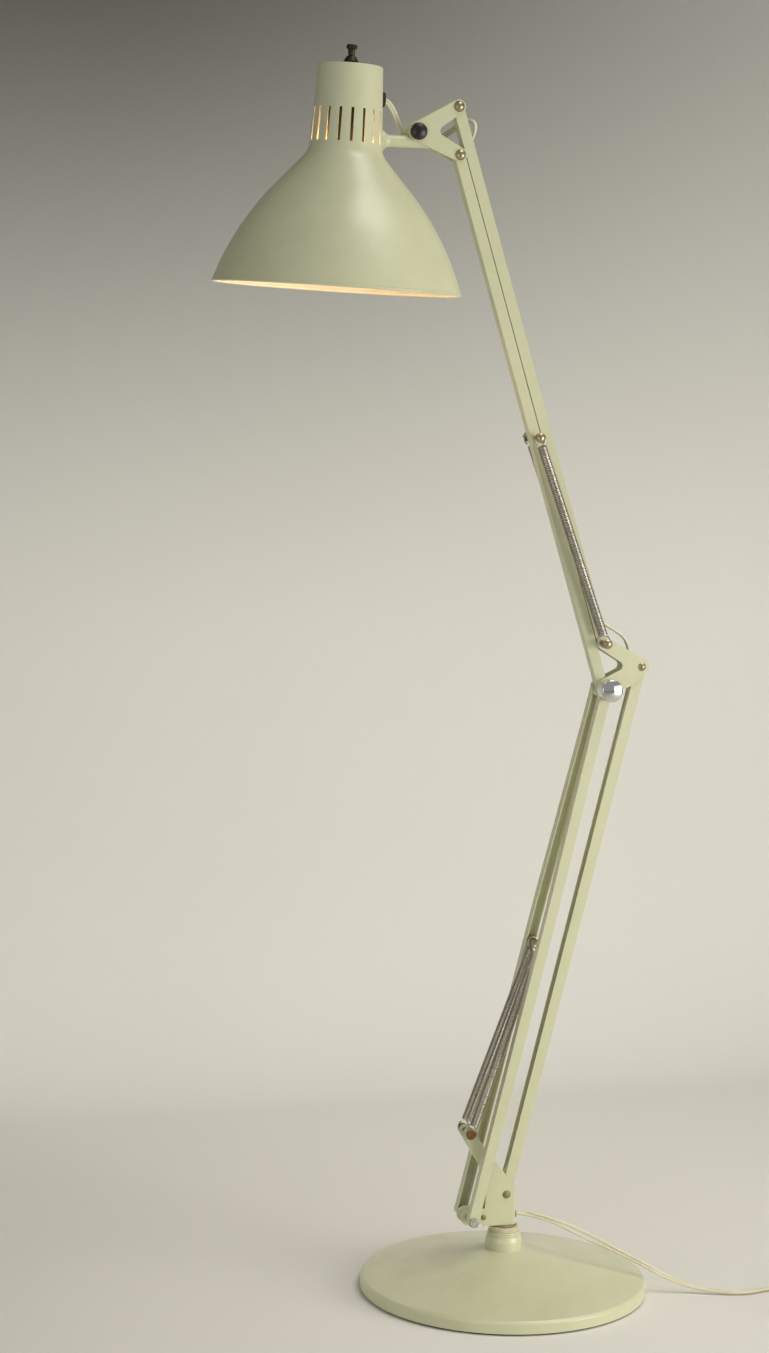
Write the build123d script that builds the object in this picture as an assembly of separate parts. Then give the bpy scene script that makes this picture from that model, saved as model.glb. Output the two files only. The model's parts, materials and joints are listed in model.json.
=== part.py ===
from build123d import *
import math
import os

# Adjustable arm floor lamp in millimetres, Z up, with the origin at the base's centre on the floor.
# The arms lie in the XZ plane with the head towards -X. The knee's clamp knob is on the -Y side.

# Base
BASE_RADIUS = 142.5
BASE_RIM_HEIGHT = 14.4
BASE_RIM_ROUND = 2.5
BASE_HUB_RADIUS = 19.5
BASE_HUB_HEIGHT = 42.0
FELT_RADIUS = 139.5
FELT_THICKNESS = 1.8

# Collar, bushing and stem of the swivel
COLLAR_FOOT_RADIUS = 18.2
COLLAR_TOP_RADIUS = 15.8
COLLAR_HEIGHT = 18.0
COLLAR_GROOVE = 0.7
COLLAR_GROOVE_PITCH = 2.0
BUSHING_FLANGE_RADIUS = 15.0
BUSHING_FLANGE_HEIGHT = 5.0
BUSHING_WALL = 2.0
STEM_RADIUS = 7.0
STEM_SHOULDER_RADIUS = 12.0
STEM_SHOULDER_HEIGHT = 1.6
STEM_RIVET_RADIUS = 5.0
STEM_HEAD_RADIUS = 5.6
STEM_HEAD_HEIGHT = 1.6

# Fits
RUN_CLEARANCE = 0.06
SEAT_GAP = 0.3

# Folded bracket: places in X and Z
BRACKET_SHEET = 1.5
BRACKET_WEB_X = 10.0
BRACKET_WEB_TOP = 104.0
BAR_WINDOW_FOOT = 88.0
BRACKET_FOLD = 2.6
BRACKET_LOBE = 8.0
BRACKET_FLOOR_REACH = 24.0
SHOULDER_X = -14.0
SHOULDER_Z = 133.5
FINGER_X = -41.0
FINGER_Z = 162.5
FINGER_LOBE = 6.0
TIE_SCREW_X = -24.0
TIE_SCREW_Z = 76.0
EXIT_HEIGHT = 76.0
EXIT_BUSH_RADIUS = 4.6
EXIT_BUSH_LIP = 1.4

# Linkage pivots and bars
PLATE_HALF = 7.5
FRONT_PIVOT_X = -39.5
FRONT_PIVOT_Z = 77.0
LOWER_OFFSET_X = 39.0
LOWER_OFFSET_Z = 21.0
LOWER_LENGTH = 541.0
LOWER_LEAN = 13.6
UPPER_OFFSET_X = -2.2
UPPER_OFFSET_Z = 45.0
UPPER_LENGTH = 535.0
UPPER_LEAN = -17.35
BAR_WIDTH = 10.5
BAR_SHEET = 1.2
MID_BAR_DEPTH = 11.0
SIDE_BAR_DEPTH = 9.0
SIDE_BAR_SPREAD = 24.0
SIDE_BAR_KNEE = 17.0
SIDE_BAR_BEND_START = LOWER_LENGTH * 0.577
SIDE_BAR_BEND_END = LOWER_LENGTH * 0.934
SIDE_BAR_BEND_RADIUS = LOWER_LENGTH * 2.7
PIN_RADIUS = 2.5
SLEEVE_RADIUS = 3.8
HEAD_RADIUS = 5.4
HEAD_HEIGHT = 3.4
NUT_WIDTH = 9.0
NUT_HEIGHT = 3.4
RIVET_HEAD_RADIUS = 4.2
RIVET_HEAD_HEIGHT = 2.2

# Knee and head plates
PLATE_SHEET = 1.5
KNEE_LOBE_MAIN = 9.0
KNEE_LOBE_REAR = 7.6
KNEE_LOBE_TOP = 6.5
KNEE_CORNER = 6.0
KNEE_CORNER_X = 29.5
KNEE_CORNER_Z = 9.0
KNEE_NOTCH_ROUND = 4.5
KNOB_RADIUS = 11.0
KNOB_BARREL = 13.5
KNOB_DOME = 2.6
HEAD_LOBE = 6.6
CLAMP_LOBE = 9.2
CLAMP_X = -42.2
CLAMP_Z = 20.1
HEAD_NOTCH_ROUND = 5.0
CLAMP_KNOB_RADIUS = 8.0
CLAMP_KNOB_BARREL = 4.0
CLAMP_KNOB_DOME = 3.0

# Knuckle and stub
KNUCKLE_EYE = 8.0
STUB_RADIUS = 5.7
STUB_DROP = 9.1
KNUCKLE_FRONT = 4.3
KNUCKLE_TAIL = 12.0
SPIGOT_RADIUS = 3.5
SPIGOT_LENGTH = 16.0
STUB_LENGTH = 30.0
STUB_FLARE_RADIUS = 10.0
STUB_FLARE_LENGTH = 6.5
STUB_FLARE_LIP = 1.8
STUB_TAIL_RADIUS = 4.0
STUB_TAIL_LENGTH = 8.0
STUB_NUT_WIDTH = 11.0
STUB_NUT_HEIGHT = 4.0
STUB_NUT_SEAT = 1.5

# Shade, in its own frame: rim centre at the origin and its axis along Z
SHADE_LEAN = 2.6
SHADE_TURN = 0.8
SHADE_HEIGHT = 206.8
SHADE_WALL = 1.2
NECK_LENGTH = 74.0
NECK_TOP_RADIUS = 30.5
NECK_TAPER = 2.9
NECK_EDGE_ROUND = 2.0
FLARE_RADIUS = 20.0
FLARE_ANGLE = 42.0
CONE_LENGTH = 36.0
RIM_ANGLE = 18.3
RIM_BEAD = 1.3
STUB_SEAT_HEIGHT = 140.3
SLOT_COUNT = 18
SLOT_PHASE = 3.3
SLOT_CLEAR_ANGLE = 20.0
SLOT_WIDTH = 2.8
SLOT_LENGTH = 31.0
SLOT_FOOT = 2.0
GROMMET_HEIGHT = 177.8
GROMMET_RADIUS = 7.0
GROMMET_LIP = 2.4
GROMMET_THROAT = 4.6

# Switch, lamp holder and bulb, along the shade's axis
SWITCH_BUSH_RADIUS = 3.4
SWITCH_NUT_RADIUS = 7.2
SWITCH_NUT_EDGE = 3.2
SWITCH_NUT_TOP = 4.3
SWITCH_NUT_HEIGHT = 8.2
SWITCH_BODY_RADIUS = 13.0
SWITCH_BODY_HEIGHT = 24.0
SWITCH_SHAFT_RADIUS = 2.0
KNOB_WAIST_RADIUS = 2.9
KNOB_THROAT_RADIUS = 3.6
KNOB_WAIST_LENGTH = 6.3
KNOB_CAP_RADIUS = 4.8
KNOB_CAP_HEIGHT = 4.0
HOLDER_RADIUS = 18.0
HOLDER_LENGTH = 48.0
HOLDER_BORE = 13.8
HOLDER_BORE_DEPTH = 26.0
BULB_CAP_RADIUS = 13.2
BULB_CAP_LENGTH = 27.0
BULB_RADIUS = 30.0
BULB_NECK_RADIUS = 14.0
BULB_NECK_LENGTH = 6.0
BULB_LENGTH = 78.0

# Springs: wire, coils and the pins that hold them
SPRING_WIRE = 1.5
SPRING_RADIUS = 4.1
SPRING_TURNS = 12
HOOK_RADIUS = 5.6
HOOK_REACH = 9.0
CROSS_PIN_ALONG = 281.0
LOWER_SPRING_FOOT_Y = 13.1
FINGER_RING = 0.6
FINGER_RING_RADIUS = 4.9
LOWER_SPRING_HEAD_Y = 7.0
UPPER_SCREW_ALONG = 256.5
UPPER_SPRING_Y = 14.5
SPRING_PIN_HALF = 20.0
SPRING_HEAD_RADIUS = 5.0
SPRING_HEAD_HEIGHT = 2.6

# Flex and plug
FLEX = 5.5
COIL_TURNS = 3
COIL_OUTER = 44.0
COIL_PITCH = 6.2
COIL_LIFT = 1.0
COIL_LAYER = 6.0
COIL_X = 336.0
COIL_Y = -108.0
COIL_TURN = 5.0
TAIL_LEVEL = 16.0
TAIL_DROP = 24.0
TIE_WIDTH = 8.0
TIE_SHEET = 0.7
TIE_GAP = 1.2
TIE_FLOOR_GAP = 0.15
PLUG_LENGTH = 34.0
PLUG_WIDTH = 26.0
PLUG_THICKNESS = 14.0
PLUG_ROUND = 4.0
PLUG_PIN_RADIUS = 2.0
PLUG_PIN_LENGTH = 19.0
PLUG_PIN_SPACING = 19.0


def along(start, lean, distance, across=0.0):
    """Point of the XZ plane at a distance up a leaning bar, moved across to its right."""
    angle = math.radians(lean)
    x = start[0] + distance * math.sin(angle) + across * math.cos(angle)
    z = start[1] + distance * math.cos(angle) - across * math.sin(angle)
    return (x, z)


FRONT_PIVOT = (FRONT_PIVOT_X, FRONT_PIVOT_Z)
REAR_PIVOT = (FRONT_PIVOT_X + LOWER_OFFSET_X, FRONT_PIVOT_Z + LOWER_OFFSET_Z)
KNEE_MAIN = along(FRONT_PIVOT, LOWER_LEAN, LOWER_LENGTH)
KNEE_REAR = (KNEE_MAIN[0] + LOWER_OFFSET_X, KNEE_MAIN[1] + LOWER_OFFSET_Z)
KNEE_TOP = (KNEE_MAIN[0] + UPPER_OFFSET_X, KNEE_MAIN[1] + UPPER_OFFSET_Z)
HEAD_LOW = along(KNEE_MAIN, UPPER_LEAN, UPPER_LENGTH)
HEAD_HIGH = (HEAD_LOW[0] + UPPER_OFFSET_X, HEAD_LOW[1] + UPPER_OFFSET_Z)
CLAMP = (HEAD_LOW[0] + CLAMP_X, HEAD_LOW[1] + CLAMP_Z)
FINGER = (FINGER_X, FINGER_Z)
CROSS_PIN = along(FRONT_PIVOT, LOWER_LEAN, CROSS_PIN_ALONG)
UPPER_SCREW = along(KNEE_MAIN, UPPER_LEAN, UPPER_SCREW_ALONG)

COLLAR_TOP = BASE_HUB_HEIGHT + COLLAR_HEIGHT
BUSHING_TOP = COLLAR_TOP + BUSHING_FLANGE_HEIGHT
BRACKET_FLOOR = BUSHING_TOP + SEAT_GAP + STEM_SHOULDER_HEIGHT
STUB_AXIS_Z = CLAMP[1] - STUB_DROP
STUB_FACE_X = CLAMP[0] - KNUCKLE_FRONT
STUB_SEAT_X = STUB_FACE_X - STUB_LENGTH
MID_BAR_HALF = MID_BAR_DEPTH / 2
PLATE_INNER = PLATE_HALF - PLATE_SHEET


def slab(sketch, y_low, y_high):
    """Extrude a sketch drawn in X and Z between two depths."""
    return Pos(0, y_high, 0) * extrude(Plane.XZ * sketch, amount=y_high - y_low)


def rod(center, radius, y_low, y_high):
    """Round rod along Y."""
    return slab(Pos(*center) * Circle(radius), y_low, y_high)


def tube(center, radius, bore, y_low, y_high):
    """Round sleeve along Y."""
    return slab(Pos(*center) * (Circle(radius) - Circle(bore)), y_low, y_high)


def nut(center, width, y_low, y_high):
    """Hexagon nut along Y, by its width across flats."""
    return slab(Pos(*center) * RegularPolygon(width / 2, 6, major_radius=False), y_low, y_high)


def cap_face(radius, height):
    """Half section of a spherical cap that stands on X and turns about Y."""
    sphere = (radius**2 + height**2) / (2 * height)
    middle = (math.atan2(sphere - height, radius) + math.pi / 2) / 2
    crest = (sphere * math.cos(middle), height - sphere + sphere * math.sin(middle))
    arc = ThreePointArc((radius, 0), crest, (0, height))
    return make_face([Line((0, 0), (radius, 0)), arc, Line((0, height), (0, 0))])


def dome(center, radius, height, y_seat):
    """Domed head on a seat in front (negative depth) or behind, turned away from the middle."""
    solid = revolve(cap_face(radius, height), Axis.Y)
    if y_seat < 0:
        solid = Rot(180, 0, 0) * solid
    return Pos(center[0], y_seat, center[1]) * solid


def link(*lobes):
    """Outline drawn tightly round lobes given as (x, z, radius)."""
    circles = [Pos(x, z) * Circle(radius) for x, z, radius in lobes]
    return make_hull([edge for circle in circles for edge in circle.edges()])


def notched_plate(tail, first, second, corner, notch_round):
    """Two-armed plate outline: arms run from the tail lobe to the two others, with a round notch."""
    upper = link(tail, first)
    lower = link(*[lobe for lobe in (tail, second, corner) if lobe])
    outline = upper + lower
    mouth = ((first[0] + second[0]) / 2, (first[1] + second[1]) / 2)

    def distance_to_mouth(vertex):
        return math.dist((vertex.X, vertex.Y), mouth)

    inner = [v for v in outline.vertices() if is_notch(v, upper, lower)]
    return fillet(min(inner, key=distance_to_mouth), notch_round)


def is_notch(vertex, upper, lower):
    """True for a corner where the straight edges of the two arms cross."""
    own = [tuple(v) for shape in (upper, lower) for v in shape.vertices()]
    return all(math.dist(tuple(vertex), point) > 0.01 for point in own)


def placed(bar, pivot, lean):
    """Stand a bar that was drawn along Z on its pivot, at its lean."""
    return Pos(pivot[0], 0, pivot[1]) * Rot(0, lean, 0) * bar


def mid_bar(length, web_side):
    """Channel bar along Z, pivots at 0 and length, open away from its web."""
    end = BAR_WIDTH / 2
    blank = slab(link((0, 0, end), (0, length, end)), -MID_BAR_HALF, MID_BAR_HALF)
    hollow = Box(BAR_WIDTH, MID_BAR_DEPTH - 2 * BAR_SHEET, length + 2 * BAR_WIDTH)
    bar = blank - Pos(-web_side * BAR_SHEET, 0, length / 2) * hollow
    for height in (0, length):
        bar -= rod((0, height), PIN_RADIUS + RUN_CLEARANCE, -MID_BAR_DEPTH, MID_BAR_DEPTH)
    return bar


def side_bar():
    """Front bar of the lower arm along Z, with its web outwards, bowed in to the knee."""
    end = BAR_WIDTH / 2
    route = FilletPolyline(
        (0, -SIDE_BAR_SPREAD, -end),
        (0, -SIDE_BAR_SPREAD, SIDE_BAR_BEND_START),
        (0, -SIDE_BAR_KNEE, SIDE_BAR_BEND_END),
        (0, -SIDE_BAR_KNEE, LOWER_LENGTH + end),
        radius=[SIDE_BAR_BEND_RADIUS, SIDE_BAR_BEND_RADIUS / 3],
    )
    room = Rectangle(BAR_WIDTH - 2 * BAR_SHEET, SIDE_BAR_DEPTH - BAR_SHEET)
    section = Rectangle(BAR_WIDTH, SIDE_BAR_DEPTH) - Pos(0, BAR_SHEET / 2) * room
    bar = sweep(Pos(0, SIDE_BAR_DEPTH / 2 - SIDE_BAR_SPREAD, -end) * section, path=route)
    bar = bar & slab(link((0, 0, end), (0, LOWER_LENGTH, end)), -2 * SIDE_BAR_SPREAD, 0)
    for height in (0, LOWER_LENGTH):
        bar -= rod((0, height), PIN_RADIUS + RUN_CLEARANCE, -2 * SIDE_BAR_SPREAD, 0)
    return bar


def arcs_through(stations):
    """Wire of tangent arcs: each pair of (point, direction) stations is joined by two arcs."""
    edges = []
    for (start, leave), (end, arrive) in zip(stations, stations[1:]):
        chord = end - start
        forward = chord.dot(leave + arrive)
        bend = 2 * (1 - leave.dot(arrive))
        if bend < 1e-9:
            handle = chord.dot(chord) / (2 * forward)
        else:
            handle = (math.sqrt(forward**2 + bend * chord.dot(chord)) - forward) / bend
        near = start + leave * handle
        far = end - arrive * handle
        middle = (near + far) * 0.5
        edges.append(arc_from(start, leave, middle))
        edges.append(arc_from(middle, (far - near).normalized(), end))
    return Wire(edges)


def arc_from(start, direction, end):
    """Arc that leaves a point in a direction and ends at another point, straight where it can be."""
    if (end - start).get_angle(direction) < 0.01:
        return Line(start, end).edge()
    return TangentArc(start, end, tangent=direction).edge()


def wound_tube(stations, diameter, name):
    """Round wire swept along a wound path, with its least gap to itself printed."""
    path = arcs_through(stations)
    start, direction = stations[0]
    solid = sweep(Plane(start, z_dir=direction) * Circle(diameter / 2), path=path)
    print(f"{name}: length {path.length:.0f} mm, least gap {least_gap(path, diameter):.2f} mm")
    return solid


def least_gap(path, diameter):
    """Smallest distance between far-apart stretches of a tube's path, less its diameter."""
    count = int(path.length / (diameter * 0.6))
    points = [path.position_at(i / count) for i in range(count + 1)]
    skip = math.ceil(math.pi * diameter * count / path.length)
    pairs = ((a, b) for i, a in enumerate(points) for b in points[i + skip :])
    return min((a - b).length for a, b in pairs) - diameter


def helix_station(radius, angle, height, rise):
    """Point and direction on a helix about Z that rises by a given height per radian."""
    point = Vector(radius * math.cos(angle), radius * math.sin(angle), height)
    heading = Vector(-radius * math.sin(angle), radius * math.cos(angle), rise)
    return point, heading.normalized()


def spring(foot, head, name):
    """Tension spring between two pins, with a round hook about each."""
    span = (head - foot).length
    seat = HOOK_RADIUS - SPRING_WIRE / 2 - PIN_RADIUS - SEAT_GAP
    quarters = [math.radians(90 * i) for i in range(4)]

    def hook_station(angle, height):
        point = Vector(HOOK_RADIUS * math.cos(angle), 0, height + HOOK_RADIUS * math.sin(angle))
        return point, Vector(-math.sin(angle), 0, math.cos(angle))

    first = HOOK_REACH
    rise = (span - 2 * HOOK_REACH) / (2 * math.pi * SPRING_TURNS - math.pi)
    turns = [math.pi * (i + 0.5) for i in range(2 * SPRING_TURNS)]
    stations = [hook_station(angle - quarters[-1], seat) for angle in quarters]
    stations += [helix_station(SPRING_RADIUS, a, first + rise * (a - turns[0]), rise) for a in turns]
    stations += [hook_station(angle, span - seat) for angle in quarters]
    wire = wound_tube(stations, SPRING_WIRE, name)
    axis = (head - foot).normalized()
    frame = Plane(foot, x_dir=Vector(0, 1, 0).cross(axis), z_dir=axis)
    return frame.location * wire


def flex_tube(points, name):
    """Round flex along straight runs joined by the largest arcs that the runs allow."""
    points = [Vector(*point) for point in points]
    radii = []
    for before, corner, after in zip(points, points[1:], points[2:]):
        run = min((corner - before).length, (after - corner).length)
        turn = math.radians((corner - before).get_angle(after - corner))
        radii.append(0.45 * run / math.tan(turn / 2))
    path = FilletPolyline(*points, radius=radii)
    solid = sweep(Plane(points[0], z_dir=points[1] - points[0]) * Circle(FLEX / 2), path=path)
    share = solid.volume / (path.length * math.pi * (FLEX / 2) ** 2)
    print(f"{name}: length {path.length:.0f} mm, volume share {share:.3f}, radii",
          " ".join(f"{radius:.0f}" for radius in radii))
    return solid


def bell_corners(inset):
    """Corner points of the shade's half section, moved inwards by a wall's thickness."""
    taper, flare, rim = (math.radians(a) for a in (NECK_TAPER, FLARE_ANGLE, RIM_ANGLE))

    def moved(point, angle, distance):
        return (point[0] + distance * math.cos(angle), point[1] + distance * math.sin(angle))

    neck_foot = (NECK_TOP_RADIUS + NECK_LENGTH * math.tan(taper), SHADE_HEIGHT - NECK_LENGTH)
    flare_end = moved(moved(neck_foot, taper, FLARE_RADIUS), flare, -FLARE_RADIUS)
    cone_end = (flare_end[0] + CONE_LENGTH * math.sin(flare), flare_end[1] - CONE_LENGTH * math.cos(flare))
    bell_radius = cone_end[1] / (math.sin(flare) - math.sin(rim))
    rim_end = moved(moved(cone_end, flare, -bell_radius), rim, bell_radius)
    flare_mid = moved(moved(neck_foot, taper, FLARE_RADIUS), (taper + flare) / 2, -FLARE_RADIUS)
    bell_mid = moved(moved(cone_end, flare, -bell_radius), (flare + rim) / 2, bell_radius)
    angles = (taper, (taper + flare) / 2, flare, flare, (flare + rim) / 2, rim)
    corners = (neck_foot, flare_mid, flare_end, cone_end, bell_mid, rim_end)
    return [moved(corner, angle, -inset) for corner, angle in zip(corners, angles)]


def bell_line(inset):
    """Edges of the bell's half section from the neck's foot to the rim."""
    foot, flare_mid, flare_end, cone_end, bell_mid, rim_end = bell_corners(inset)
    return [
        ThreePointArc(foot, flare_mid, flare_end),
        Line(flare_end, cone_end),
        ThreePointArc(cone_end, bell_mid, rim_end),
    ]


def turned(edges):
    """Solid of revolution about Z from edges drawn as (radius, height)."""
    return revolve(Plane.XZ * make_face(edges), Axis.Z)


def turned_outline(*points):
    """Solid of revolution about Z from a closed outline of (radius, height) points."""
    return turned(Polyline(*points, close=True).edges())


def neck_radius(height):
    """Outer radius of the neck at a height above the rim."""
    return NECK_TOP_RADIUS + (SHADE_HEIGHT - height) * math.tan(math.radians(NECK_TAPER))


def shade_place():
    """Place of the shade: its neck wall meets the stub's seat, turned a little on the stub's axis."""
    lean = math.radians(SHADE_LEAN)
    radius = neck_radius(STUB_SEAT_HEIGHT)
    x = STUB_SEAT_X - radius * math.cos(lean) - STUB_SEAT_HEIGHT * math.sin(lean)
    z = STUB_AXIS_Z + radius * math.sin(lean) - STUB_SEAT_HEIGHT * math.cos(lean)
    turn = Pos(0, 0, STUB_AXIS_Z) * Rot(SHADE_TURN, 0, 0) * Pos(0, 0, -STUB_AXIS_Z)
    return turn * Pos(x, 0, z) * Rot(0, SHADE_LEAN, 0)


def neck_blank(inset):
    """Solid cone of the neck with its top edge rounded, moved inwards by a wall's thickness."""
    foot = SHADE_HEIGHT - NECK_LENGTH
    top = SHADE_HEIGHT - inset
    cone = turned_outline(
        (0, foot), (neck_radius(foot) - inset, foot), (neck_radius(top) - inset, top), (0, top))
    edge = cone.edges().filter_by(GeomType.CIRCLE).sort_by(Axis.Z)[-1]
    return fillet(edge, max(NECK_EDGE_ROUND - inset, 0.4))


def make_base():
    """Weighted disc, felt, collar and bushing."""
    rim_round = BASE_RADIUS - BASE_RIM_ROUND
    disc = turned_outline(
        (0, FELT_THICKNESS),
        (BASE_RADIUS, FELT_THICKNESS),
        (BASE_RADIUS, BASE_RIM_HEIGHT - BASE_RIM_ROUND),
        (rim_round, BASE_RIM_HEIGHT),
        (BASE_HUB_RADIUS, BASE_HUB_HEIGHT),
        (0, BASE_HUB_HEIGHT),
    )
    rings = disc.edges().filter_by(GeomType.CIRCLE)
    shoulder_heights = (BASE_RIM_HEIGHT - BASE_RIM_ROUND, BASE_RIM_HEIGHT)
    shoulder = [ring for ring in rings if min(abs(ring.center().Z - z) for z in shoulder_heights) < 0.01]
    disc = fillet(shoulder, BASE_RIM_ROUND * 0.8)
    felt = extrude(Circle(FELT_RADIUS), FELT_THICKNESS)
    bore = STEM_RADIUS + RUN_CLEARANCE
    sleeve = bore + BUSHING_WALL
    collar = turned_outline(
        (sleeve, BASE_HUB_HEIGHT),
        (COLLAR_FOOT_RADIUS, BASE_HUB_HEIGHT),
        (COLLAR_FOOT_RADIUS, BASE_HUB_HEIGHT + COLLAR_HEIGHT / 2),
        (COLLAR_TOP_RADIUS, COLLAR_TOP),
        (sleeve, COLLAR_TOP),
    )
    rings = collar.edges().filter_by(GeomType.CIRCLE)
    waist = [ring for ring in rings if abs(ring.radius - COLLAR_FOOT_RADIUS) < 0.01]
    collar = fillet(max(waist, key=lambda ring: ring.center().Z), COLLAR_HEIGHT / 3)
    slope = (COLLAR_FOOT_RADIUS - COLLAR_TOP_RADIUS) / (COLLAR_HEIGHT / 2)
    for index in (1, 2):
        depth = index * COLLAR_GROOVE_PITCH
        collar -= Pos(0, 0, COLLAR_TOP - depth) * Torus(COLLAR_TOP_RADIUS + slope * depth, COLLAR_GROOVE)
    bushing = turned_outline(
        (bore, BASE_HUB_HEIGHT),
        (sleeve, BASE_HUB_HEIGHT),
        (sleeve, COLLAR_TOP),
        (BUSHING_FLANGE_RADIUS, COLLAR_TOP),
        (BUSHING_FLANGE_RADIUS, BUSHING_TOP),
        (bore, BUSHING_TOP),
    )
    return {"base_disc": disc, "base_felt": felt, "base_collar": collar,
            "collar_bushing": bushing}


def make_bracket():
    """Folded bracket on its stem, with the pins, bolt and bush that it carries."""
    hub = link((FRONT_PIVOT_X, FRONT_PIVOT_Z, BRACKET_LOBE), (TIE_SCREW_X, FRONT_PIVOT_Z, BRACKET_LOBE))
    body = Polygon(
        (TIE_SCREW_X, BRACKET_FLOOR), (BRACKET_WEB_X, BRACKET_FLOOR), (BRACKET_WEB_X, BRACKET_WEB_TOP),
        (SHOULDER_X, SHOULDER_Z), (SHOULDER_X - FINGER_LOBE, SHOULDER_Z), align=None)
    root = (SHOULDER_X - FINGER_LOBE, SHOULDER_Z - FINGER_LOBE)
    finger = link((*FINGER, FINGER_LOBE), (*root, FINGER_LOBE))
    sheet = slab(hub + body + finger, -PLATE_HALF, PLATE_HALF)
    folds = [e for e in sheet.edges().filter_by(Axis.Z) if abs(e.center().X - BRACKET_WEB_X) < 0.01]
    sheet = fillet(folds, BRACKET_FOLD)
    inside = PLATE_HALF - BRACKET_SHEET
    tall = 2 * FINGER_Z
    room = Box(tall, 2 * inside, tall, align=(Align.MAX, Align.CENTER, Align.MIN))
    sheet -= Pos(BRACKET_WEB_X - BRACKET_SHEET, 0, BRACKET_FLOOR + BRACKET_SHEET) * room
    sheet -= Pos(BRACKET_WEB_X - BRACKET_SHEET - BRACKET_FLOOR_REACH, 0, 0) * room
    sheet -= Pos(BRACKET_WEB_X + BRACKET_SHEET, 0, BAR_WINDOW_FOOT) * room
    for center in (FRONT_PIVOT, REAR_PIVOT, FINGER, (TIE_SCREW_X, TIE_SCREW_Z)):
        sheet -= rod(center, PIN_RADIUS, -PLATE_HALF, PLATE_HALF)
    exit_hole = Cylinder(FLEX / 2 + SEAT_GAP, 4 * BRACKET_SHEET)
    sheet -= Pos(BRACKET_WEB_X, 0, EXIT_HEIGHT) * Rot(0, 90, 0) * exit_hole
    sheet -= Pos(0, 0, BRACKET_FLOOR) * Cylinder(STEM_RIVET_RADIUS, 4 * BRACKET_SHEET)

    stem_foot = BASE_HUB_HEIGHT + SEAT_GAP
    floor_top = BRACKET_FLOOR + BRACKET_SHEET
    stem = turned_outline(
        (0, stem_foot), (STEM_RADIUS, stem_foot), (STEM_RADIUS, BUSHING_TOP + SEAT_GAP),
        (STEM_SHOULDER_RADIUS, BUSHING_TOP + SEAT_GAP), (STEM_SHOULDER_RADIUS, BRACKET_FLOOR),
        (STEM_RIVET_RADIUS, BRACKET_FLOOR), (STEM_RIVET_RADIUS, floor_top), (STEM_HEAD_RADIUS, floor_top),
        (STEM_HEAD_RADIUS, floor_top + STEM_HEAD_HEIGHT), (0, floor_top + STEM_HEAD_HEIGHT))

    bar_face = SIDE_BAR_SPREAD + SEAT_GAP
    web_inner = SIDE_BAR_SPREAD - BAR_SHEET - SEAT_GAP
    bolt = rod(FRONT_PIVOT, PIN_RADIUS, -bar_face - NUT_HEIGHT, bar_face)
    bolt += dome(FRONT_PIVOT, HEAD_RADIUS, HEAD_HEIGHT, bar_face)
    lock_nut = nut(FRONT_PIVOT, NUT_WIDTH, -bar_face - NUT_HEIGHT, -bar_face)
    lock_nut -= rod(FRONT_PIVOT, PIN_RADIUS, -2 * bar_face, bar_face)
    sleeve = tube(FRONT_PIVOT, SLEEVE_RADIUS, PIN_RADIUS, PLATE_HALF, web_inner)
    tie = rod((TIE_SCREW_X, TIE_SCREW_Z), PIN_RADIUS, -PLATE_HALF, PLATE_HALF)
    tie += both_ends((TIE_SCREW_X, TIE_SCREW_Z), RIVET_HEAD_RADIUS * 0.7, RIVET_HEAD_HEIGHT / 2, PLATE_HALF)
    rivet = rod(REAR_PIVOT, PIN_RADIUS, -PLATE_HALF, PLATE_HALF)
    rivet += both_ends(REAR_PIVOT, RIVET_HEAD_RADIUS, RIVET_HEAD_HEIGHT, PLATE_HALF)
    finger_end = SIDE_BAR_SPREAD - SIDE_BAR_DEPTH - SEAT_GAP
    finger_pin = rod(FINGER, PIN_RADIUS, -finger_end, finger_end)
    ring = rod(FINGER, FINGER_RING_RADIUS, finger_end - FINGER_RING, finger_end)
    finger_pin += ring + mirror(ring, Plane.XZ)

    bore = FLEX / 2 + SEAT_GAP
    lip = turned_outline(
        (bore, 0), (EXIT_BUSH_RADIUS, 0), (EXIT_BUSH_RADIUS, EXIT_BUSH_LIP), (bore, EXIT_BUSH_LIP))
    bush = Pos(BRACKET_WEB_X, 0, EXIT_HEIGHT) * Rot(0, 90, 0) * lip
    return {
        "bracket_sheet": sheet,
        "swivel_stem": stem,
        "lower_pivot_bolt": bolt,
        "lower_pivot_nut": lock_nut,
        "lower_pivot_sleeves": sleeve + mirror(sleeve, Plane.XZ),
        "bracket_tie_screw": tie,
        "rear_bar_rivet": rivet,
        "finger_pin": finger_pin,
        "exit_bush": bush,
    }


def both_ends(center, radius, height, half):
    """Matching domed heads at both ends of a pin."""
    return dome(center, radius, height, -half) + dome(center, radius, height, half)


def make_lower_arm():
    """Rear bar, the two side bars and the pin across them that holds the springs' heads."""
    front = side_bar()
    collar_start = LOWER_SPRING_HEAD_Y + 2 * SPRING_WIRE
    collar_end = SIDE_BAR_SPREAD - BAR_SHEET
    pin = rod((0, CROSS_PIN_ALONG), PIN_RADIUS, -collar_end, collar_end)
    collar = tube((0, CROSS_PIN_ALONG), SLEEVE_RADIUS, PIN_RADIUS / 2, collar_start, collar_end)
    pin += collar + mirror(collar, Plane.XZ)
    return {
        "rear_bar": placed(mid_bar(LOWER_LENGTH, 1), REAR_PIVOT, LOWER_LEAN),
        "lower_bar_front": placed(front, FRONT_PIVOT, LOWER_LEAN),
        "lower_bar_back": placed(mirror(front, Plane.XZ), FRONT_PIVOT, LOWER_LEAN),
        "spring_cross_pin": placed(pin, FRONT_PIVOT, LOWER_LEAN),
    }


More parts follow.
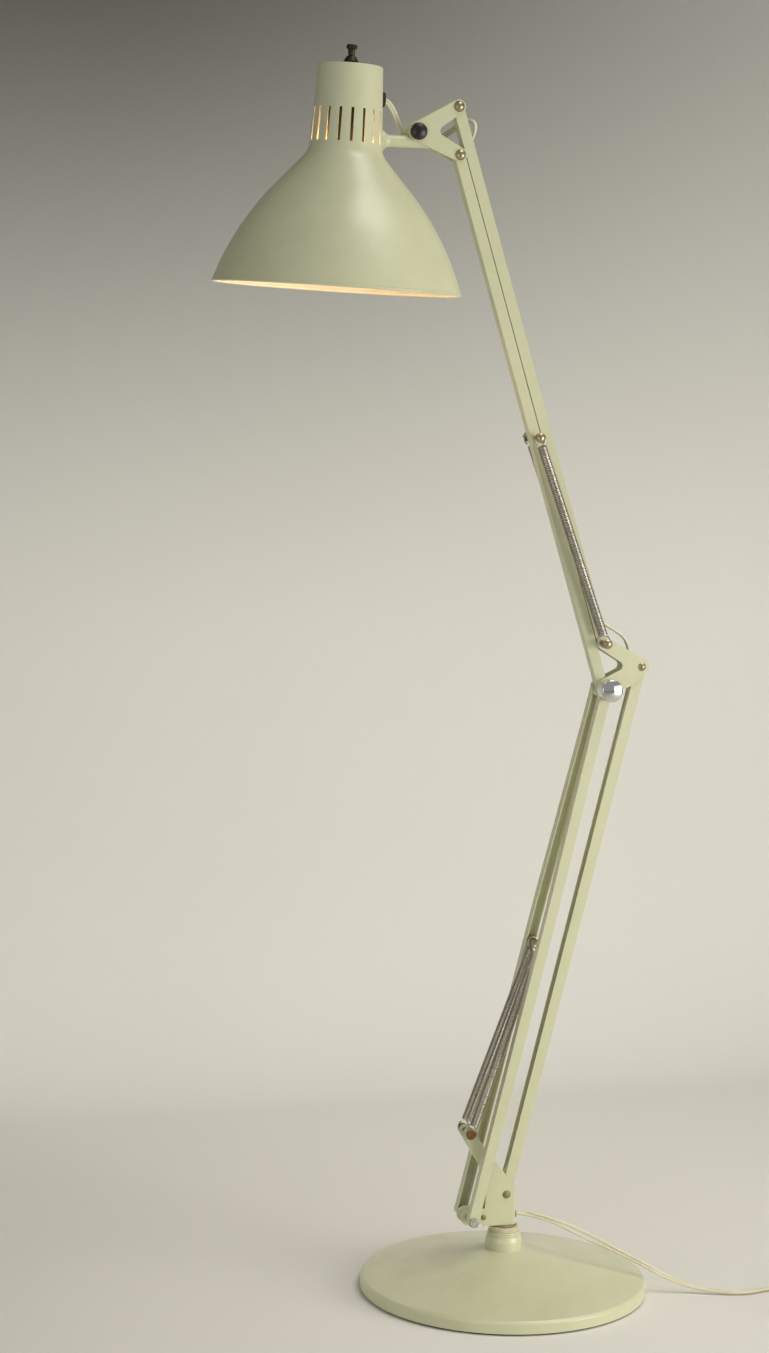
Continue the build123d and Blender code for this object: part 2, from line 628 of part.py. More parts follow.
def make_knee():
    """Knee plates with their bolt, sleeves, rivet, spring screw and clamp knob."""
    corner = (KNEE_MAIN[0] + KNEE_CORNER_X, KNEE_MAIN[1] + KNEE_CORNER_Z, KNEE_CORNER)
    outline = notched_plate(
        (*KNEE_REAR, KNEE_LOBE_REAR), (*KNEE_TOP, KNEE_LOBE_TOP), (*KNEE_MAIN, KNEE_LOBE_MAIN), corner,
        KNEE_NOTCH_ROUND)
    for center in (KNEE_MAIN, KNEE_REAR, KNEE_TOP):
        outline -= Pos(*center) * Circle(PIN_RADIUS)
    front = slab(outline, -PLATE_HALF, -PLATE_INNER)
    seat = SIDE_BAR_KNEE + SEAT_GAP
    bolt = rod(KNEE_MAIN, PIN_RADIUS, -seat - KNOB_BARREL, seat)
    bolt += dome(KNEE_MAIN, HEAD_RADIUS, HEAD_HEIGHT, seat)
    sleeve = tube(KNEE_MAIN, SLEEVE_RADIUS, PIN_RADIUS, PLATE_HALF, SIDE_BAR_KNEE - BAR_SHEET - SEAT_GAP)
    rivet = rod(KNEE_REAR, PIN_RADIUS, -PLATE_HALF, PLATE_HALF)
    rivet += both_ends(KNEE_REAR, RIVET_HEAD_RADIUS, RIVET_HEAD_HEIGHT, PLATE_HALF)
    screw = spring_screw(KNEE_TOP)
    return {
        "knee_plate_front": front,
        "knee_plate_back": mirror(front, Plane.XZ),
        "knee_bolt": bolt,
        "knee_sleeves": sleeve + mirror(sleeve, Plane.XZ),
        "knee_rivet": rivet,
        "knee_spring_screw": screw,
        "knee_knob": clamp_knob(KNEE_MAIN, KNOB_RADIUS, KNOB_BARREL, KNOB_DOME, seat),
    }


def clamp_knob(center, radius, barrel, crown, seat):
    """Domed knob in front of a seat, turning on a bolt's end."""
    knob = rod(center, radius, -seat - barrel, -seat) + dome(center, radius, crown, -seat - barrel)
    return knob - rod(center, PIN_RADIUS + RUN_CLEARANCE, -seat - barrel - SEAT_GAP, 0)


def spring_screw(center):
    """Long screw with a domed head and a nut, standing out on both sides to hold spring hooks."""
    screw = rod(center, PIN_RADIUS, -SPRING_PIN_HALF, SPRING_PIN_HALF)
    screw += dome(center, SPRING_HEAD_RADIUS, SPRING_HEAD_HEIGHT, -SPRING_PIN_HALF)
    return screw + nut(center, NUT_WIDTH, SPRING_PIN_HALF - NUT_HEIGHT, SPRING_PIN_HALF)


def make_upper_arm():
    """The two bars of the upper arm and the screw through the front one that holds the springs."""
    front = mid_bar(UPPER_LENGTH, -1)
    front -= rod((0, UPPER_SCREW_ALONG), PIN_RADIUS, -MID_BAR_DEPTH, MID_BAR_DEPTH)
    return {
        "upper_bar_front": placed(front, KNEE_MAIN, UPPER_LEAN),
        "upper_bar_rear": placed(mid_bar(UPPER_LENGTH, -1), KNEE_TOP, UPPER_LEAN),
        "upper_spring_screw": spring_screw(UPPER_SCREW),
    }


def make_head_bracket():
    """Head plates with their screws, the clamp screw and the knuckle that it grips."""
    outline = notched_plate(
        (*CLAMP, CLAMP_LOBE), (*HEAD_HIGH, HEAD_LOBE), (*HEAD_LOW, HEAD_LOBE), None, HEAD_NOTCH_ROUND)
    for center in (CLAMP, HEAD_LOW, HEAD_HIGH):
        outline -= Pos(*center) * Circle(PIN_RADIUS)
    front = slab(outline, -PLATE_HALF, -PLATE_INNER)
    screws = {}
    for name, center in (("head_screw_lower", HEAD_LOW), ("head_screw_upper", HEAD_HIGH)):
        screw = rod(center, PIN_RADIUS, -PLATE_HALF, PLATE_HALF)
        screw += dome(center, HEAD_RADIUS, HEAD_HEIGHT, -PLATE_HALF)
        screws[name] = screw + nut(center, NUT_WIDTH, PLATE_HALF, PLATE_HALF + NUT_HEIGHT)
    seat = PLATE_HALF + SEAT_GAP
    clamp = rod(CLAMP, PIN_RADIUS, -seat - CLAMP_KNOB_BARREL, PLATE_HALF)
    clamp += nut(CLAMP, NUT_WIDTH, PLATE_HALF, PLATE_HALF + NUT_HEIGHT)
    eye_half = PLATE_INNER - SEAT_GAP
    barrel_length = KNUCKLE_FRONT + KNUCKLE_TAIL
    knuckle = rod(CLAMP, KNUCKLE_EYE, -eye_half, eye_half)
    knuckle += turned_x(STUB_RADIUS, barrel_length, STUB_FACE_X)
    knuckle -= turned_x(STUB_RADIUS + SEAT_GAP, STUB_LENGTH, STUB_FACE_X - STUB_LENGTH)
    knuckle += turned_x(SPIGOT_RADIUS, SPIGOT_LENGTH, STUB_FACE_X - SPIGOT_LENGTH)
    knuckle -= rod(CLAMP, PIN_RADIUS + RUN_CLEARANCE, -PLATE_HALF, PLATE_HALF)
    return {
        "head_plate_front": front,
        "head_plate_back": mirror(front, Plane.XZ),
        "head_clamp_screw": clamp,
        "head_clamp_knob": clamp_knob(CLAMP, CLAMP_KNOB_RADIUS, CLAMP_KNOB_BARREL, CLAMP_KNOB_DOME, seat),
        "head_knuckle": knuckle,
        **screws,
    }


def turned_x(radius, length, x_start):
    """Round bar along X on the stub's axis."""
    bar = Cylinder(radius, length, align=(Align.CENTER, Align.CENTER, Align.MIN))
    return Pos(x_start, 0, STUB_AXIS_Z) * Rot(0, 90, 0) * bar


def make_shade():
    """Stub, vented neck and bell, with the grommet, switch, lamp holder and bulb."""
    place = shade_place()
    neck = neck_blank(0) - neck_blank(SHADE_WALL)
    foot = SHADE_HEIGHT - NECK_LENGTH
    slot_height = foot + SLOT_FOOT + SLOT_LENGTH / 2
    slot = Pos(NECK_TOP_RADIUS, 0, slot_height) * Box(SLOT_LENGTH, SLOT_WIDTH, SLOT_LENGTH)
    for index in range(SLOT_COUNT):
        angle = (SLOT_PHASE + index * 360 / SLOT_COUNT + 180) % 360 - 180
        if abs(angle) > SLOT_CLEAR_ANGLE:
            neck -= Rot(0, 0, angle) * slot
    neck -= Pos(0, 0, SHADE_HEIGHT) * Cylinder(SWITCH_BUSH_RADIUS, 4 * SHADE_WALL)
    grommet_length = 2 * GROMMET_LIP + SHADE_WALL
    grommet_place = Pos(neck_radius(GROMMET_HEIGHT) - SHADE_WALL / 2, 0, GROMMET_HEIGHT) * Rot(0, 90, 0)
    neck -= grommet_place * Cylinder(GROMMET_THROAT, grommet_length)
    ring = Cylinder(GROMMET_RADIUS, grommet_length) - Cylinder(FLEX / 2 + SEAT_GAP, grommet_length)
    grommet = grommet_place * ring - neck
    neck = place * neck
    wall_pass = turned_x(STUB_TAIL_RADIUS, STUB_FLARE_RADIUS, STUB_SEAT_X - STUB_FLARE_RADIUS / 2)
    neck -= wall_pass

    lip_side = STUB_LENGTH - STUB_FLARE_LIP
    flare_side = lip_side - STUB_FLARE_LENGTH
    back = STUB_LENGTH + STUB_FLARE_LENGTH
    curve = TangentArc((STUB_RADIUS, flare_side), (STUB_FLARE_RADIUS, lip_side), tangent=(0, 1))
    profile = [Line((0, 0), (STUB_RADIUS, 0)), Line((STUB_RADIUS, 0), (STUB_RADIUS, flare_side)), curve,
               Line((STUB_FLARE_RADIUS, lip_side), (STUB_FLARE_RADIUS, back)),
               Line((STUB_FLARE_RADIUS, back), (0, back)), Line((0, back), (0, 0))]
    stub = Pos(STUB_FACE_X, 0, STUB_AXIS_Z) * Rot(0, -90, 0) * turned(profile)
    stub -= place * neck_blank(0) + place * bell_core()
    stub += turned_x(STUB_TAIL_RADIUS, STUB_TAIL_LENGTH + SHADE_WALL, STUB_SEAT_X - STUB_TAIL_LENGTH)
    socket_depth = SPIGOT_LENGTH + SEAT_GAP
    stub -= turned_x(SPIGOT_RADIUS + RUN_CLEARANCE, socket_depth, STUB_FACE_X - socket_depth)
    nut_seat = STUB_SEAT_X - SHADE_WALL - STUB_NUT_SEAT - STUB_NUT_HEIGHT
    hexagon = RegularPolygon(STUB_NUT_WIDTH / 2, 6, major_radius=False) - Circle(STUB_TAIL_RADIUS)
    stub_nut = Pos(nut_seat, 0, STUB_AXIS_Z) * Rot(0, 90, 0) * extrude(hexagon, STUB_NUT_HEIGHT)

    outer_foot, inner_foot = bell_corners(0)[0], bell_corners(SHADE_WALL)[0]
    outer_rim, inner_rim = bell_corners(0)[-1], bell_corners(SHADE_WALL)[-1]
    inner_flat = (inner_foot[0], outer_foot[1])
    edges = bell_line(0) + bell_line(SHADE_WALL)
    edges += [Line(outer_rim, inner_rim), Line(inner_foot, inner_flat), Line(inner_flat, outer_foot)]
    bell = turned(edges)
    bead_radius = (outer_rim[0] + inner_rim[0]) / 2
    bell += Pos(0, 0, (outer_rim[1] + inner_rim[1]) / 2) * Torus(bead_radius, RIM_BEAD)

    switch_top = SHADE_HEIGHT + SWITCH_NUT_HEIGHT
    body_top = SHADE_HEIGHT - SHADE_WALL
    body_foot = body_top - SWITCH_BODY_HEIGHT
    shaft_top = switch_top + KNOB_WAIST_LENGTH
    switch_body = turned_outline(
        (0, body_foot), (SWITCH_BODY_RADIUS, body_foot), (SWITCH_BODY_RADIUS, body_top),
        (SWITCH_BUSH_RADIUS, body_top), (SWITCH_BUSH_RADIUS, switch_top), (SWITCH_SHAFT_RADIUS, switch_top),
        (SWITCH_SHAFT_RADIUS, shaft_top), (0, shaft_top))
    nut_edge = SHADE_HEIGHT + SWITCH_NUT_EDGE
    switch_nut = turned_outline(
        (SWITCH_BUSH_RADIUS, SHADE_HEIGHT), (SWITCH_NUT_RADIUS, SHADE_HEIGHT), (SWITCH_NUT_RADIUS, nut_edge),
        (SWITCH_NUT_TOP, switch_top), (SWITCH_BUSH_RADIUS, switch_top))
    knob_foot = switch_top + SEAT_GAP
    cap_foot = shaft_top + SEAT_GAP
    knob_top = cap_foot + KNOB_CAP_HEIGHT
    knob_bore = SWITCH_SHAFT_RADIUS + RUN_CLEARANCE
    knob = turned_outline(
        (knob_bore, knob_foot), (KNOB_WAIST_RADIUS, knob_foot), (KNOB_THROAT_RADIUS, cap_foot),
        (KNOB_CAP_RADIUS, cap_foot), (KNOB_CAP_RADIUS, knob_top), (0, knob_top), (0, cap_foot),
        (knob_bore, cap_foot))

    holder_foot = body_foot - HOLDER_LENGTH
    bore_top = holder_foot + HOLDER_BORE_DEPTH
    holder = turned_outline(
        (HOLDER_BORE, holder_foot), (HOLDER_RADIUS, holder_foot), (HOLDER_RADIUS, body_foot), (0, body_foot),
        (0, bore_top), (HOLDER_BORE, bore_top))
    bulb_top = bore_top - BULB_CAP_LENGTH
    bulb_cap = turned_outline(
        (0, bulb_top), (BULB_CAP_RADIUS, bulb_top), (BULB_CAP_RADIUS, bore_top), (0, bore_top))
    return {
        "shade_neck": neck,
        "shade_bell": place * bell,
        "head_stub": stub,
        "stub_nut": stub_nut,
        "cord_grommet": place * grommet,
        "switch_body": place * switch_body,
        "switch_nut": place * switch_nut,
        "switch_knob": place * knob,
        "lamp_holder": place * holder,
        "bulb_cap": place * bulb_cap,
        "bulb_glass": place * bulb_glass(bulb_top),
    }


def bell_core():
    """The bell's outer form as a solid."""
    foot, rim = bell_corners(0)[0], bell_corners(0)[-1]
    closing = Polyline(rim, (0, rim[1]), (0, foot[1]), foot)
    return turned(bell_line(0) + list(closing.edges()))


def bulb_glass(top):
    """Pear-shaped bulb below its cap: a sphere run into a round neck by a tangent line."""
    center = top - BULB_LENGTH + BULB_RADIUS
    neck_foot = top - BULB_NECK_LENGTH
    rise = neck_foot - center
    swing = math.atan2(rise, BULB_NECK_RADIUS) - math.acos(BULB_RADIUS / math.hypot(rise, BULB_NECK_RADIUS))
    touch = (BULB_RADIUS * math.cos(swing), center + BULB_RADIUS * math.sin(swing))
    return turned([
        Line((0, top), (BULB_NECK_RADIUS, top)),
        Line((BULB_NECK_RADIUS, top), (BULB_NECK_RADIUS, neck_foot)),
        Line((BULB_NECK_RADIUS, neck_foot), touch),
        ThreePointArc(touch, (BULB_RADIUS, center), (0, center - BULB_RADIUS)),
        Line((0, center - BULB_RADIUS), (0, top)),
    ])


def make_springs():
    """The two pairs of balance springs."""
    springs = {}
    for side, name in ((-1, "front"), (1, "back")):
        foot = Vector(FINGER[0], side * LOWER_SPRING_FOOT_Y, FINGER[1])
        head = Vector(CROSS_PIN[0], side * LOWER_SPRING_HEAD_Y, CROSS_PIN[1])
        springs[f"lower_spring_{name}"] = spring(foot, head, f"lower_spring_{name}")
        foot = Vector(KNEE_TOP[0], side * UPPER_SPRING_Y, KNEE_TOP[1])
        head = Vector(UPPER_SCREW[0], side * UPPER_SPRING_Y, UPPER_SCREW[1])
        springs[f"upper_spring_{name}"] = spring(foot, head, f"upper_spring_{name}")
    return springs


def beside(anchor, right, depth, up):
    """Point set off from a pivot to the right and up, at a depth."""
    return (anchor[0] + right, depth, anchor[1] + up)


def in_channel(pivot, lean, distance):
    """Place of the flex against the web inside a channel bar, at a distance up from its pivot."""
    inset = (BAR_WIDTH / 2 - BAR_SHEET - FLEX / 2 - SEAT_GAP / 2) * math.copysign(1, lean)
    x, z = along(pivot, lean, distance, inset)
    return (x, 0, z)


def make_flex():
    """Flex from the grommet through the arms to the floor, one length for each body it rides with."""
    place = shade_place()
    wall = neck_radius(GROMMET_HEIGHT)
    bore = tuple((place * Pos(wall - GROMMET_LIP, 0, GROMMET_HEIGHT)).position)
    mouth = tuple((place * Pos(wall + 2 * GROMMET_LIP, 0, GROMMET_HEIGHT)).position)
    knuckle_start = beside(CLAMP, 2, 13, -9.5)
    plate_start = beside(CLAMP, 25, 12.8, -4.5)
    bar_start = in_channel(KNEE_TOP, UPPER_LEAN, UPPER_LENGTH - 59)
    knee_end = beside(KNEE_REAR, -10.7, 0, -1.8)
    bracket_start = in_channel(REAR_PIVOT, LOWER_LEAN, 47)
    web_exit = (BRACKET_WEB_X + EXIT_BUSH_LIP, 0, EXIT_HEIGHT)
    coil_start, coil_heading = coil_entry()
    approach = coil_start - coil_heading * 24
    routes = {
        "head_cord_neck": [
            bore, mouth, beside(CLAMP, -22, 3.5, 20), beside(CLAMP, -13, 9.4, 3.5),
            beside(CLAMP, -6, 12.3, -7.5), knuckle_start],
        "head_cord_knuckle": [knuckle_start, beside(CLAMP, 9, 13.6125, -11.25), plate_start],
        "head_cord_loop": [
            plate_start, beside(CLAMP, 35, 12.292, -0.281), beside(CLAMP, 46, 11.5, 9.5),
            beside(CLAMP, 54.5, 8, 14), beside(CLAMP, 59.5, 2.6, 11), beside(CLAMP, 58.5, 0, 1.5),
            in_channel(KNEE_TOP, UPPER_LEAN, UPPER_LENGTH - 38), bar_start],
        "upper_bar_cord": [
            bar_start, in_channel(KNEE_TOP, UPPER_LEAN, 48), beside(KNEE_TOP, -2.5, 0, 21),
            beside(KNEE_TOP, 12.5, 0, 12.8), beside(KNEE_TOP, 25, 0, 4.8),
            beside(KNEE_REAR, -10.7, 0, 15), knee_end],
        "rear_bar_cord": [
            knee_end, beside(KNEE_REAR, -10.7, 0, -16),
            in_channel(REAR_PIVOT, LOWER_LEAN, LOWER_LENGTH - 36), bracket_start],
        "bracket_cord": [
            bracket_start, in_channel(REAR_PIVOT, LOWER_LEAN, 33), beside(REAR_PIVOT, -3.5, 0, 14.5),
            beside(REAR_PIVOT, -9.3, 0, 3), beside(REAR_PIVOT, -8.8, 0, -8.5),
            beside(REAR_PIVOT, -3.5, 0, -18), (BRACKET_WEB_X - 4, 0, EXIT_HEIGHT), web_exit],
        "floor_cord": [
            web_exit, (BRACKET_WEB_X + 9, 0, EXIT_HEIGHT), (33, -7, 74), (55, -15, 67), (86, -26, 52),
            (125, -39.5, 33), (165, -53, 14), (203, -66, 4), (232, -79, 2.9), (262, -66.5, 2.9),
            tuple(approach), tuple(coil_start)],
    }
    return {name: flex_tube(points, name) for name, points in routes.items()}


def coil_place():
    """Place of the coil on the floor, turned so that the flex runs into it."""
    return Pos(COIL_X, COIL_Y, 0) * Rot(0, 0, COIL_TURN)


def coil_entry():
    """Where the flex runs into the coil, and its direction there."""
    place = coil_place()
    start = (place * Pos(0, COIL_OUTER, COIL_LIFT + FLEX / 2)).position
    ahead = (place * Pos(1, COIL_OUTER, COIL_LIFT + FLEX / 2)).position
    return start, ahead - start


def make_coil():
    """Spare flex in two flat layers, its tie and the plug at its end."""
    lower = COIL_LIFT + FLEX / 2
    upper = lower + COIL_LAYER
    radii = [COIL_OUTER - COIL_PITCH * turn for turn in range(COIL_TURNS + 1)]
    stops = [(radius, side, lower) for radius in radii[:-1] for side in (1, -1)]
    stops += [(radii[-1], 1, lower), (radii[-1], -1, upper)]
    stops += [(radius, side, upper) for radius in reversed(radii[:-1]) for side in (1, -1)]
    stations = [(Vector(0, side * radius, height), Vector(side, 0, 0)) for radius, side, height in stops]
    heading = Vector(-1, 0, 0)
    level_end = Vector(-TAIL_LEVEL, -COIL_OUTER, upper)
    plug_end = Vector(-TAIL_LEVEL - TAIL_DROP, -COIL_OUTER, PLUG_THICKNESS / 2)
    stations += [(level_end, heading), (plug_end, heading)]
    coil = wound_tube(stations, FLEX, "cord_coil")

    room_width = (COIL_TURNS - 1) * COIL_PITCH + FLEX + 2 * TIE_GAP
    room_height = COIL_LAYER + FLEX + 2 * TIE_FLOOR_GAP
    band = Box(room_width + 2 * TIE_SHEET, TIE_WIDTH, room_height + 2 * TIE_SHEET)
    band -= Box(room_width, TIE_WIDTH, room_height)
    middle = (radii[0] + radii[-1]) / 2
    tie = Pos(-middle, 0, (lower + upper) / 2) * band

    block = Box(PLUG_LENGTH, PLUG_WIDTH, PLUG_THICKNESS, align=(Align.MAX, Align.CENTER, Align.CENTER))
    block = Pos(plug_end.X, plug_end.Y, plug_end.Z) * fillet(block.edges().filter_by(Axis.Z), PLUG_ROUND)
    on_foot = (Align.CENTER, Align.CENTER, Align.MIN)
    pin = Rot(0, -90, 0) * Cylinder(PLUG_PIN_RADIUS, PLUG_PIN_LENGTH, align=on_foot)
    tip = Pos(plug_end.X - PLUG_LENGTH, plug_end.Y, plug_end.Z)
    pins = [tip * Pos(0, side * PLUG_PIN_SPACING / 2, 0) * pin for side in (-1, 1)]
    pieces = {"cord_coil": coil, "coil_tie": tie, "plug_body": block, "plug_pins": pins[0] + pins[1]}
    return {name: coil_place() * piece for name, piece in pieces.items()}


def main():
    """Build every piece and write each to its own file."""
    os.makedirs("parts", exist_ok=True)
    makers = (make_base, make_bracket, make_lower_arm, make_knee, make_upper_arm, make_head_bracket,
              make_shade, make_springs, make_flex, make_coil)
    for maker in makers:
        for name, shape in maker().items():
            export_step(shape, f"parts/{name}.step")


main()
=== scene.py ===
"""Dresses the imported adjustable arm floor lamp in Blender.

The sheet-metal arms, the bracket, the turned base and the head keep their CAD shapes with eased edges and
enamel or metal finishes. The shade is turned again with its row of vents, the springs are wound, and the twin
flex follows smooth lines from the head down the arms to its tied coil on the floor.
"""
import json
import logging
import math
from dataclasses import dataclass
from enum import Enum

import bmesh
import bpy
from mathutils import Matrix, Vector

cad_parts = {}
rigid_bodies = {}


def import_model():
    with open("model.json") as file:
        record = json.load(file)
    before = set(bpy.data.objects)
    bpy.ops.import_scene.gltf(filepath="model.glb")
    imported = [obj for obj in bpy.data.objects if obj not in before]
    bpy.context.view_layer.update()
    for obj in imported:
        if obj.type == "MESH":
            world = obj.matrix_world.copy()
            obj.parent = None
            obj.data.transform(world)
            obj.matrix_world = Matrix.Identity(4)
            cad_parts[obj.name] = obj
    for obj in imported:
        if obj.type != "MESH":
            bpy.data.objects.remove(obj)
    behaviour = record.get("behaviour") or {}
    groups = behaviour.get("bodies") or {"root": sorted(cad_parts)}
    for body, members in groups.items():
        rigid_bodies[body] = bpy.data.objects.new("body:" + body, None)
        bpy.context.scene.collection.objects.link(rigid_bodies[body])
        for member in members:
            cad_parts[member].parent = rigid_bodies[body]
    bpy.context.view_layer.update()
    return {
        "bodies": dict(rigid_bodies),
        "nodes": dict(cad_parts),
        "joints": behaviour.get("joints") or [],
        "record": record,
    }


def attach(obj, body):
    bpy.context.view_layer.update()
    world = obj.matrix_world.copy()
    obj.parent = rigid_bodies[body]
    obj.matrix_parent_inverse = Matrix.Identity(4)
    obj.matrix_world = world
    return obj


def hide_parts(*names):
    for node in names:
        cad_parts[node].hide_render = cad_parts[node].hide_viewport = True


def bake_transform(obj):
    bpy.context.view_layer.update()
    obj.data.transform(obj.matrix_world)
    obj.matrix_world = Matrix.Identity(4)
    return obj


LOG = logging.getLogger("floor_lamp")
MM = 0.001


class Lie(Enum):
    """How the flat flex is turned from lying flat: knots of (millimetres along, degrees)."""

    FLAT = ((0.0, 0.0),)
    ON_EDGE = ((0.0, 90.0),)
    EDGE_TO_FLAT = ((0.0, 90.0), (75.0, 0.0))
    LEAD = ((0.0, 0.0), (22.0, 80.0), (120.0, 80.0), (240.0, 0.0))

    def at(self, run: float) -> float:
        """Find the turn at a place.

        Args:
            run: Millimetres from the start of the stretch.

        Returns:
            The turn in radians.
        """
        knots = self.value
        turn = knots[0][1]
        for (start, low), (end, high) in zip(knots, knots[1:]):
            share = min(max((run - start) / (end - start), 0.0), 1.0)
            turn += (high - low) * share * share * (3 - 2 * share)
        return math.radians(turn)


def mm(*values: float) -> Vector:
    """Give a point in metres from its millimetres."""
    return Vector(values) * MM


def linear(hex_colour: str) -> tuple[float, float, float, float]:
    """Turn a written colour into the renderer's linear one.

    Args:
        hex_colour: An sRGB colour as six hexadecimal digits after a hash.

    Returns:
        Linear red, green, blue and an alpha of 1.
    """
    parts = [int(hex_colour[i : i + 2], 16) / 255 for i in (1, 3, 5)]
    red, green, blue = (c / 12.92 if c <= 0.04045 else ((c + 0.055) / 1.055) ** 2.4 for c in parts)
    return (red, green, blue, 1.0)


def add_node(tree: bpy.types.NodeTree, kind: str, inputs: dict | None = None, **settings) -> bpy.types.Node:
    """Add one node with its settings and its links.

    Args:
        tree: The tree that gets the node.
        kind: Blender's type name of the node.
        inputs: Input name or number to either a value or the output socket that feeds it.
        settings: The node's own attributes.

    Returns:
        The new node.
    """
    node = tree.nodes.new(kind)
    for name, value in settings.items():
        setattr(node, name, value)
    for key, value in (inputs or {}).items():
        if isinstance(value, bpy.types.NodeSocket):
            tree.links.new(value, node.inputs[key])
        else:
            node.inputs[key].default_value = value
    return node


def put(name: str, data: bpy.types.ID) -> bpy.types.Object:
    """Put new data in the scene as an object at the origin.

    Args:
        name: The object's name.
        data: Its mesh, curve, camera or light.

    Returns:
        The object.
    """
    thing = bpy.data.objects.new(name, data)
    bpy.context.scene.collection.objects.link(thing)
    return thing


def mesh_of(shell: bmesh.types.BMesh, name: str) -> bpy.types.Mesh:
    """Keep a mesh that has been worked on, and free what it was worked in.

    Args:
        shell: What it was worked in.
        name: The mesh's name.

    Returns:
        The mesh.
    """
    mesh = bpy.data.meshes.new(name)
    shell.to_mesh(mesh)
    shell.free()
    return mesh


@dataclass(frozen=True)
class Finish:
    """A procedural surface: its tone, how it varies, its gloss, its grain and its worn edges.

    Lengths are in millimetres. The real grain of metal, rubber and felt is finer than the one drawn here,
    which is coarse enough to show close up.
    """

    name: str
    colour: str
    aged: str
    roughness: float
    metallic: float = 0.0
    coat: float = 0.0
    patch: float = 45.0
    patch_share: float = 0.35
    grain: float = 1.6
    grain_depth: float = 0.02
    wear: str = ""
    wear_reach: float = 0.9
    wear_fleck: float = 4.0
    sheen: float = 0.0
    glow: str = ""
    glow_strength: float = 0.0
    glossier: float = 0.06
    duller: float = 0.08
    glossiest: float = 0.03

    def build(self) -> bpy.types.Material:
        """Make the material.

        Returns:
            The material, with all its patterns in Object coordinates.
        """
        material = bpy.data.materials.new(self.name)
        material.use_nodes = True
        tree = material.node_tree
        tree.nodes.clear()
        place = add_node(tree, "ShaderNodeTexCoord").outputs["Object"]
        patches = add_node(tree, "ShaderNodeTexNoise", {
            "Vector": place, "Scale": 1 / (self.patch * MM), "Detail": 5.0, "Roughness": 0.6})
        amount = add_node(tree, "ShaderNodeMapRange", {
            "Value": patches.outputs["Fac"], "From Min": 0.35, "From Max": 0.75, "To Min": 0.0,
            "To Max": self.patch_share})
        tone = add_node(tree, "ShaderNodeMix", {
            0: amount.outputs["Result"], 6: linear(self.colour), 7: linear(self.aged)}, data_type="RGBA")
        colour = tone.outputs[2]
        if self.wear:
            colour = self.worn(tree, place, colour)
        gloss = add_node(tree, "ShaderNodeMapRange", {
            "Value": patches.outputs["Fac"], "From Min": 0.3, "From Max": 0.7,
            "To Min": max(self.roughness - self.glossier, self.glossiest),
            "To Max": self.roughness + self.duller})
        grain = add_node(tree, "ShaderNodeTexNoise", {
            "Vector": place, "Scale": 1 / (self.grain * MM), "Detail": 3.0})
        bump = add_node(tree, "ShaderNodeBump", {
            "Strength": 0.6, "Distance": self.grain_depth * MM, "Height": grain.outputs["Fac"]})
        surface = add_node(tree, "ShaderNodeBsdfPrincipled", {
            "Base Color": colour, "Roughness": gloss.outputs["Result"], "Normal": bump.outputs["Normal"],
            "Metallic": self.metallic, "Coat Weight": self.coat, "Coat Roughness": 0.2,
            "Sheen Weight": self.sheen})
        if self.glow:
            surface.inputs["Emission Color"].default_value = linear(self.glow)
            surface.inputs["Emission Strength"].default_value = self.glow_strength
        add_node(tree, "ShaderNodeOutputMaterial", {"Surface": surface.outputs["BSDF"]})
        return material

    def worn(self, tree: bpy.types.NodeTree, place: bpy.types.NodeSocket,
             colour: bpy.types.NodeSocket) -> bpy.types.NodeSocket:
        """Rub the finish through along the edges, in broken patches.

        Args:
            tree: The material's tree.
            place: Object coordinates.
            colour: The colour before the wear.

        Returns:
            The colour with the wear.
        """
        eased = add_node(tree, "ShaderNodeBevel", {"Radius": self.wear_reach * MM}, samples=4)
        facing = add_node(tree, "ShaderNodeNewGeometry").outputs["Normal"]
        level = add_node(tree, "ShaderNodeVectorMath", {0: eased.outputs["Normal"], 1: facing},
                         operation="DOT_PRODUCT")
        edge = add_node(tree, "ShaderNodeMapRange", {
            "Value": level.outputs["Value"], "From Min": 0.985, "From Max": 0.8, "To Min": 0.0,
            "To Max": 1.0})
        flecks = add_node(tree, "ShaderNodeTexNoise", {
            "Vector": place, "Scale": 1 / (self.wear_fleck * MM), "Detail": 4.0, "Roughness": 0.7})
        broken = add_node(tree, "ShaderNodeMapRange", {
            "Value": flecks.outputs["Fac"], "From Min": 0.5, "From Max": 0.66, "To Min": 0.0, "To Max": 0.8})
        share = add_node(tree, "ShaderNodeMath", {0: edge.outputs["Result"], 1: broken.outputs["Result"]},
                         operation="MULTIPLY")
        rubbed = add_node(tree, "ShaderNodeMix", {
            0: share.outputs["Value"], 6: colour, 7: linear(self.wear)}, data_type="RGBA")
        return rubbed.outputs[2]


# Stoved enamel on sheet steel: pale cream-green, satin, rubbed through along its edges.
ENAMEL = Finish("cream_green_enamel", "#CFCFAB", "#BDBB92", 0.34, coat=0.3, patch=38.0, wear="#77704F")
# Sprayed enamel inside the shade: warm white and a little duller than the outside.
WHITE_ENAMEL = Finish("white_enamel", "#ECE6D6", "#DDD3BC", 0.42, coat=0.15, patch=30.0)
# Turned steel, tarnished: brownish grey, dulled in patches.
STEEL = Finish("tarnished_steel", "#B7AB8C", "#6F6650", 0.32, metallic=1.0, patch=7.0, patch_share=0.7,
               grain=0.7, grain_depth=0.015)
# Drawn spring wire: grey, with a thin bright line on every turn.
SPRING_STEEL = Finish("spring_steel", "#C4BEB0", "#8E877A", 0.26, metallic=1.0, patch=14.0, patch_share=0.6,
                      grain=0.5, grain_depth=0.01)
# Chrome plate on a turned knob: mirrors the room.
CHROME = Finish("chrome_plate", "#D9D9D7", "#BDBBB4", 0.1, metallic=1.0, patch=6.0, patch_share=0.4,
                grain=0.9, grain_depth=0.004)
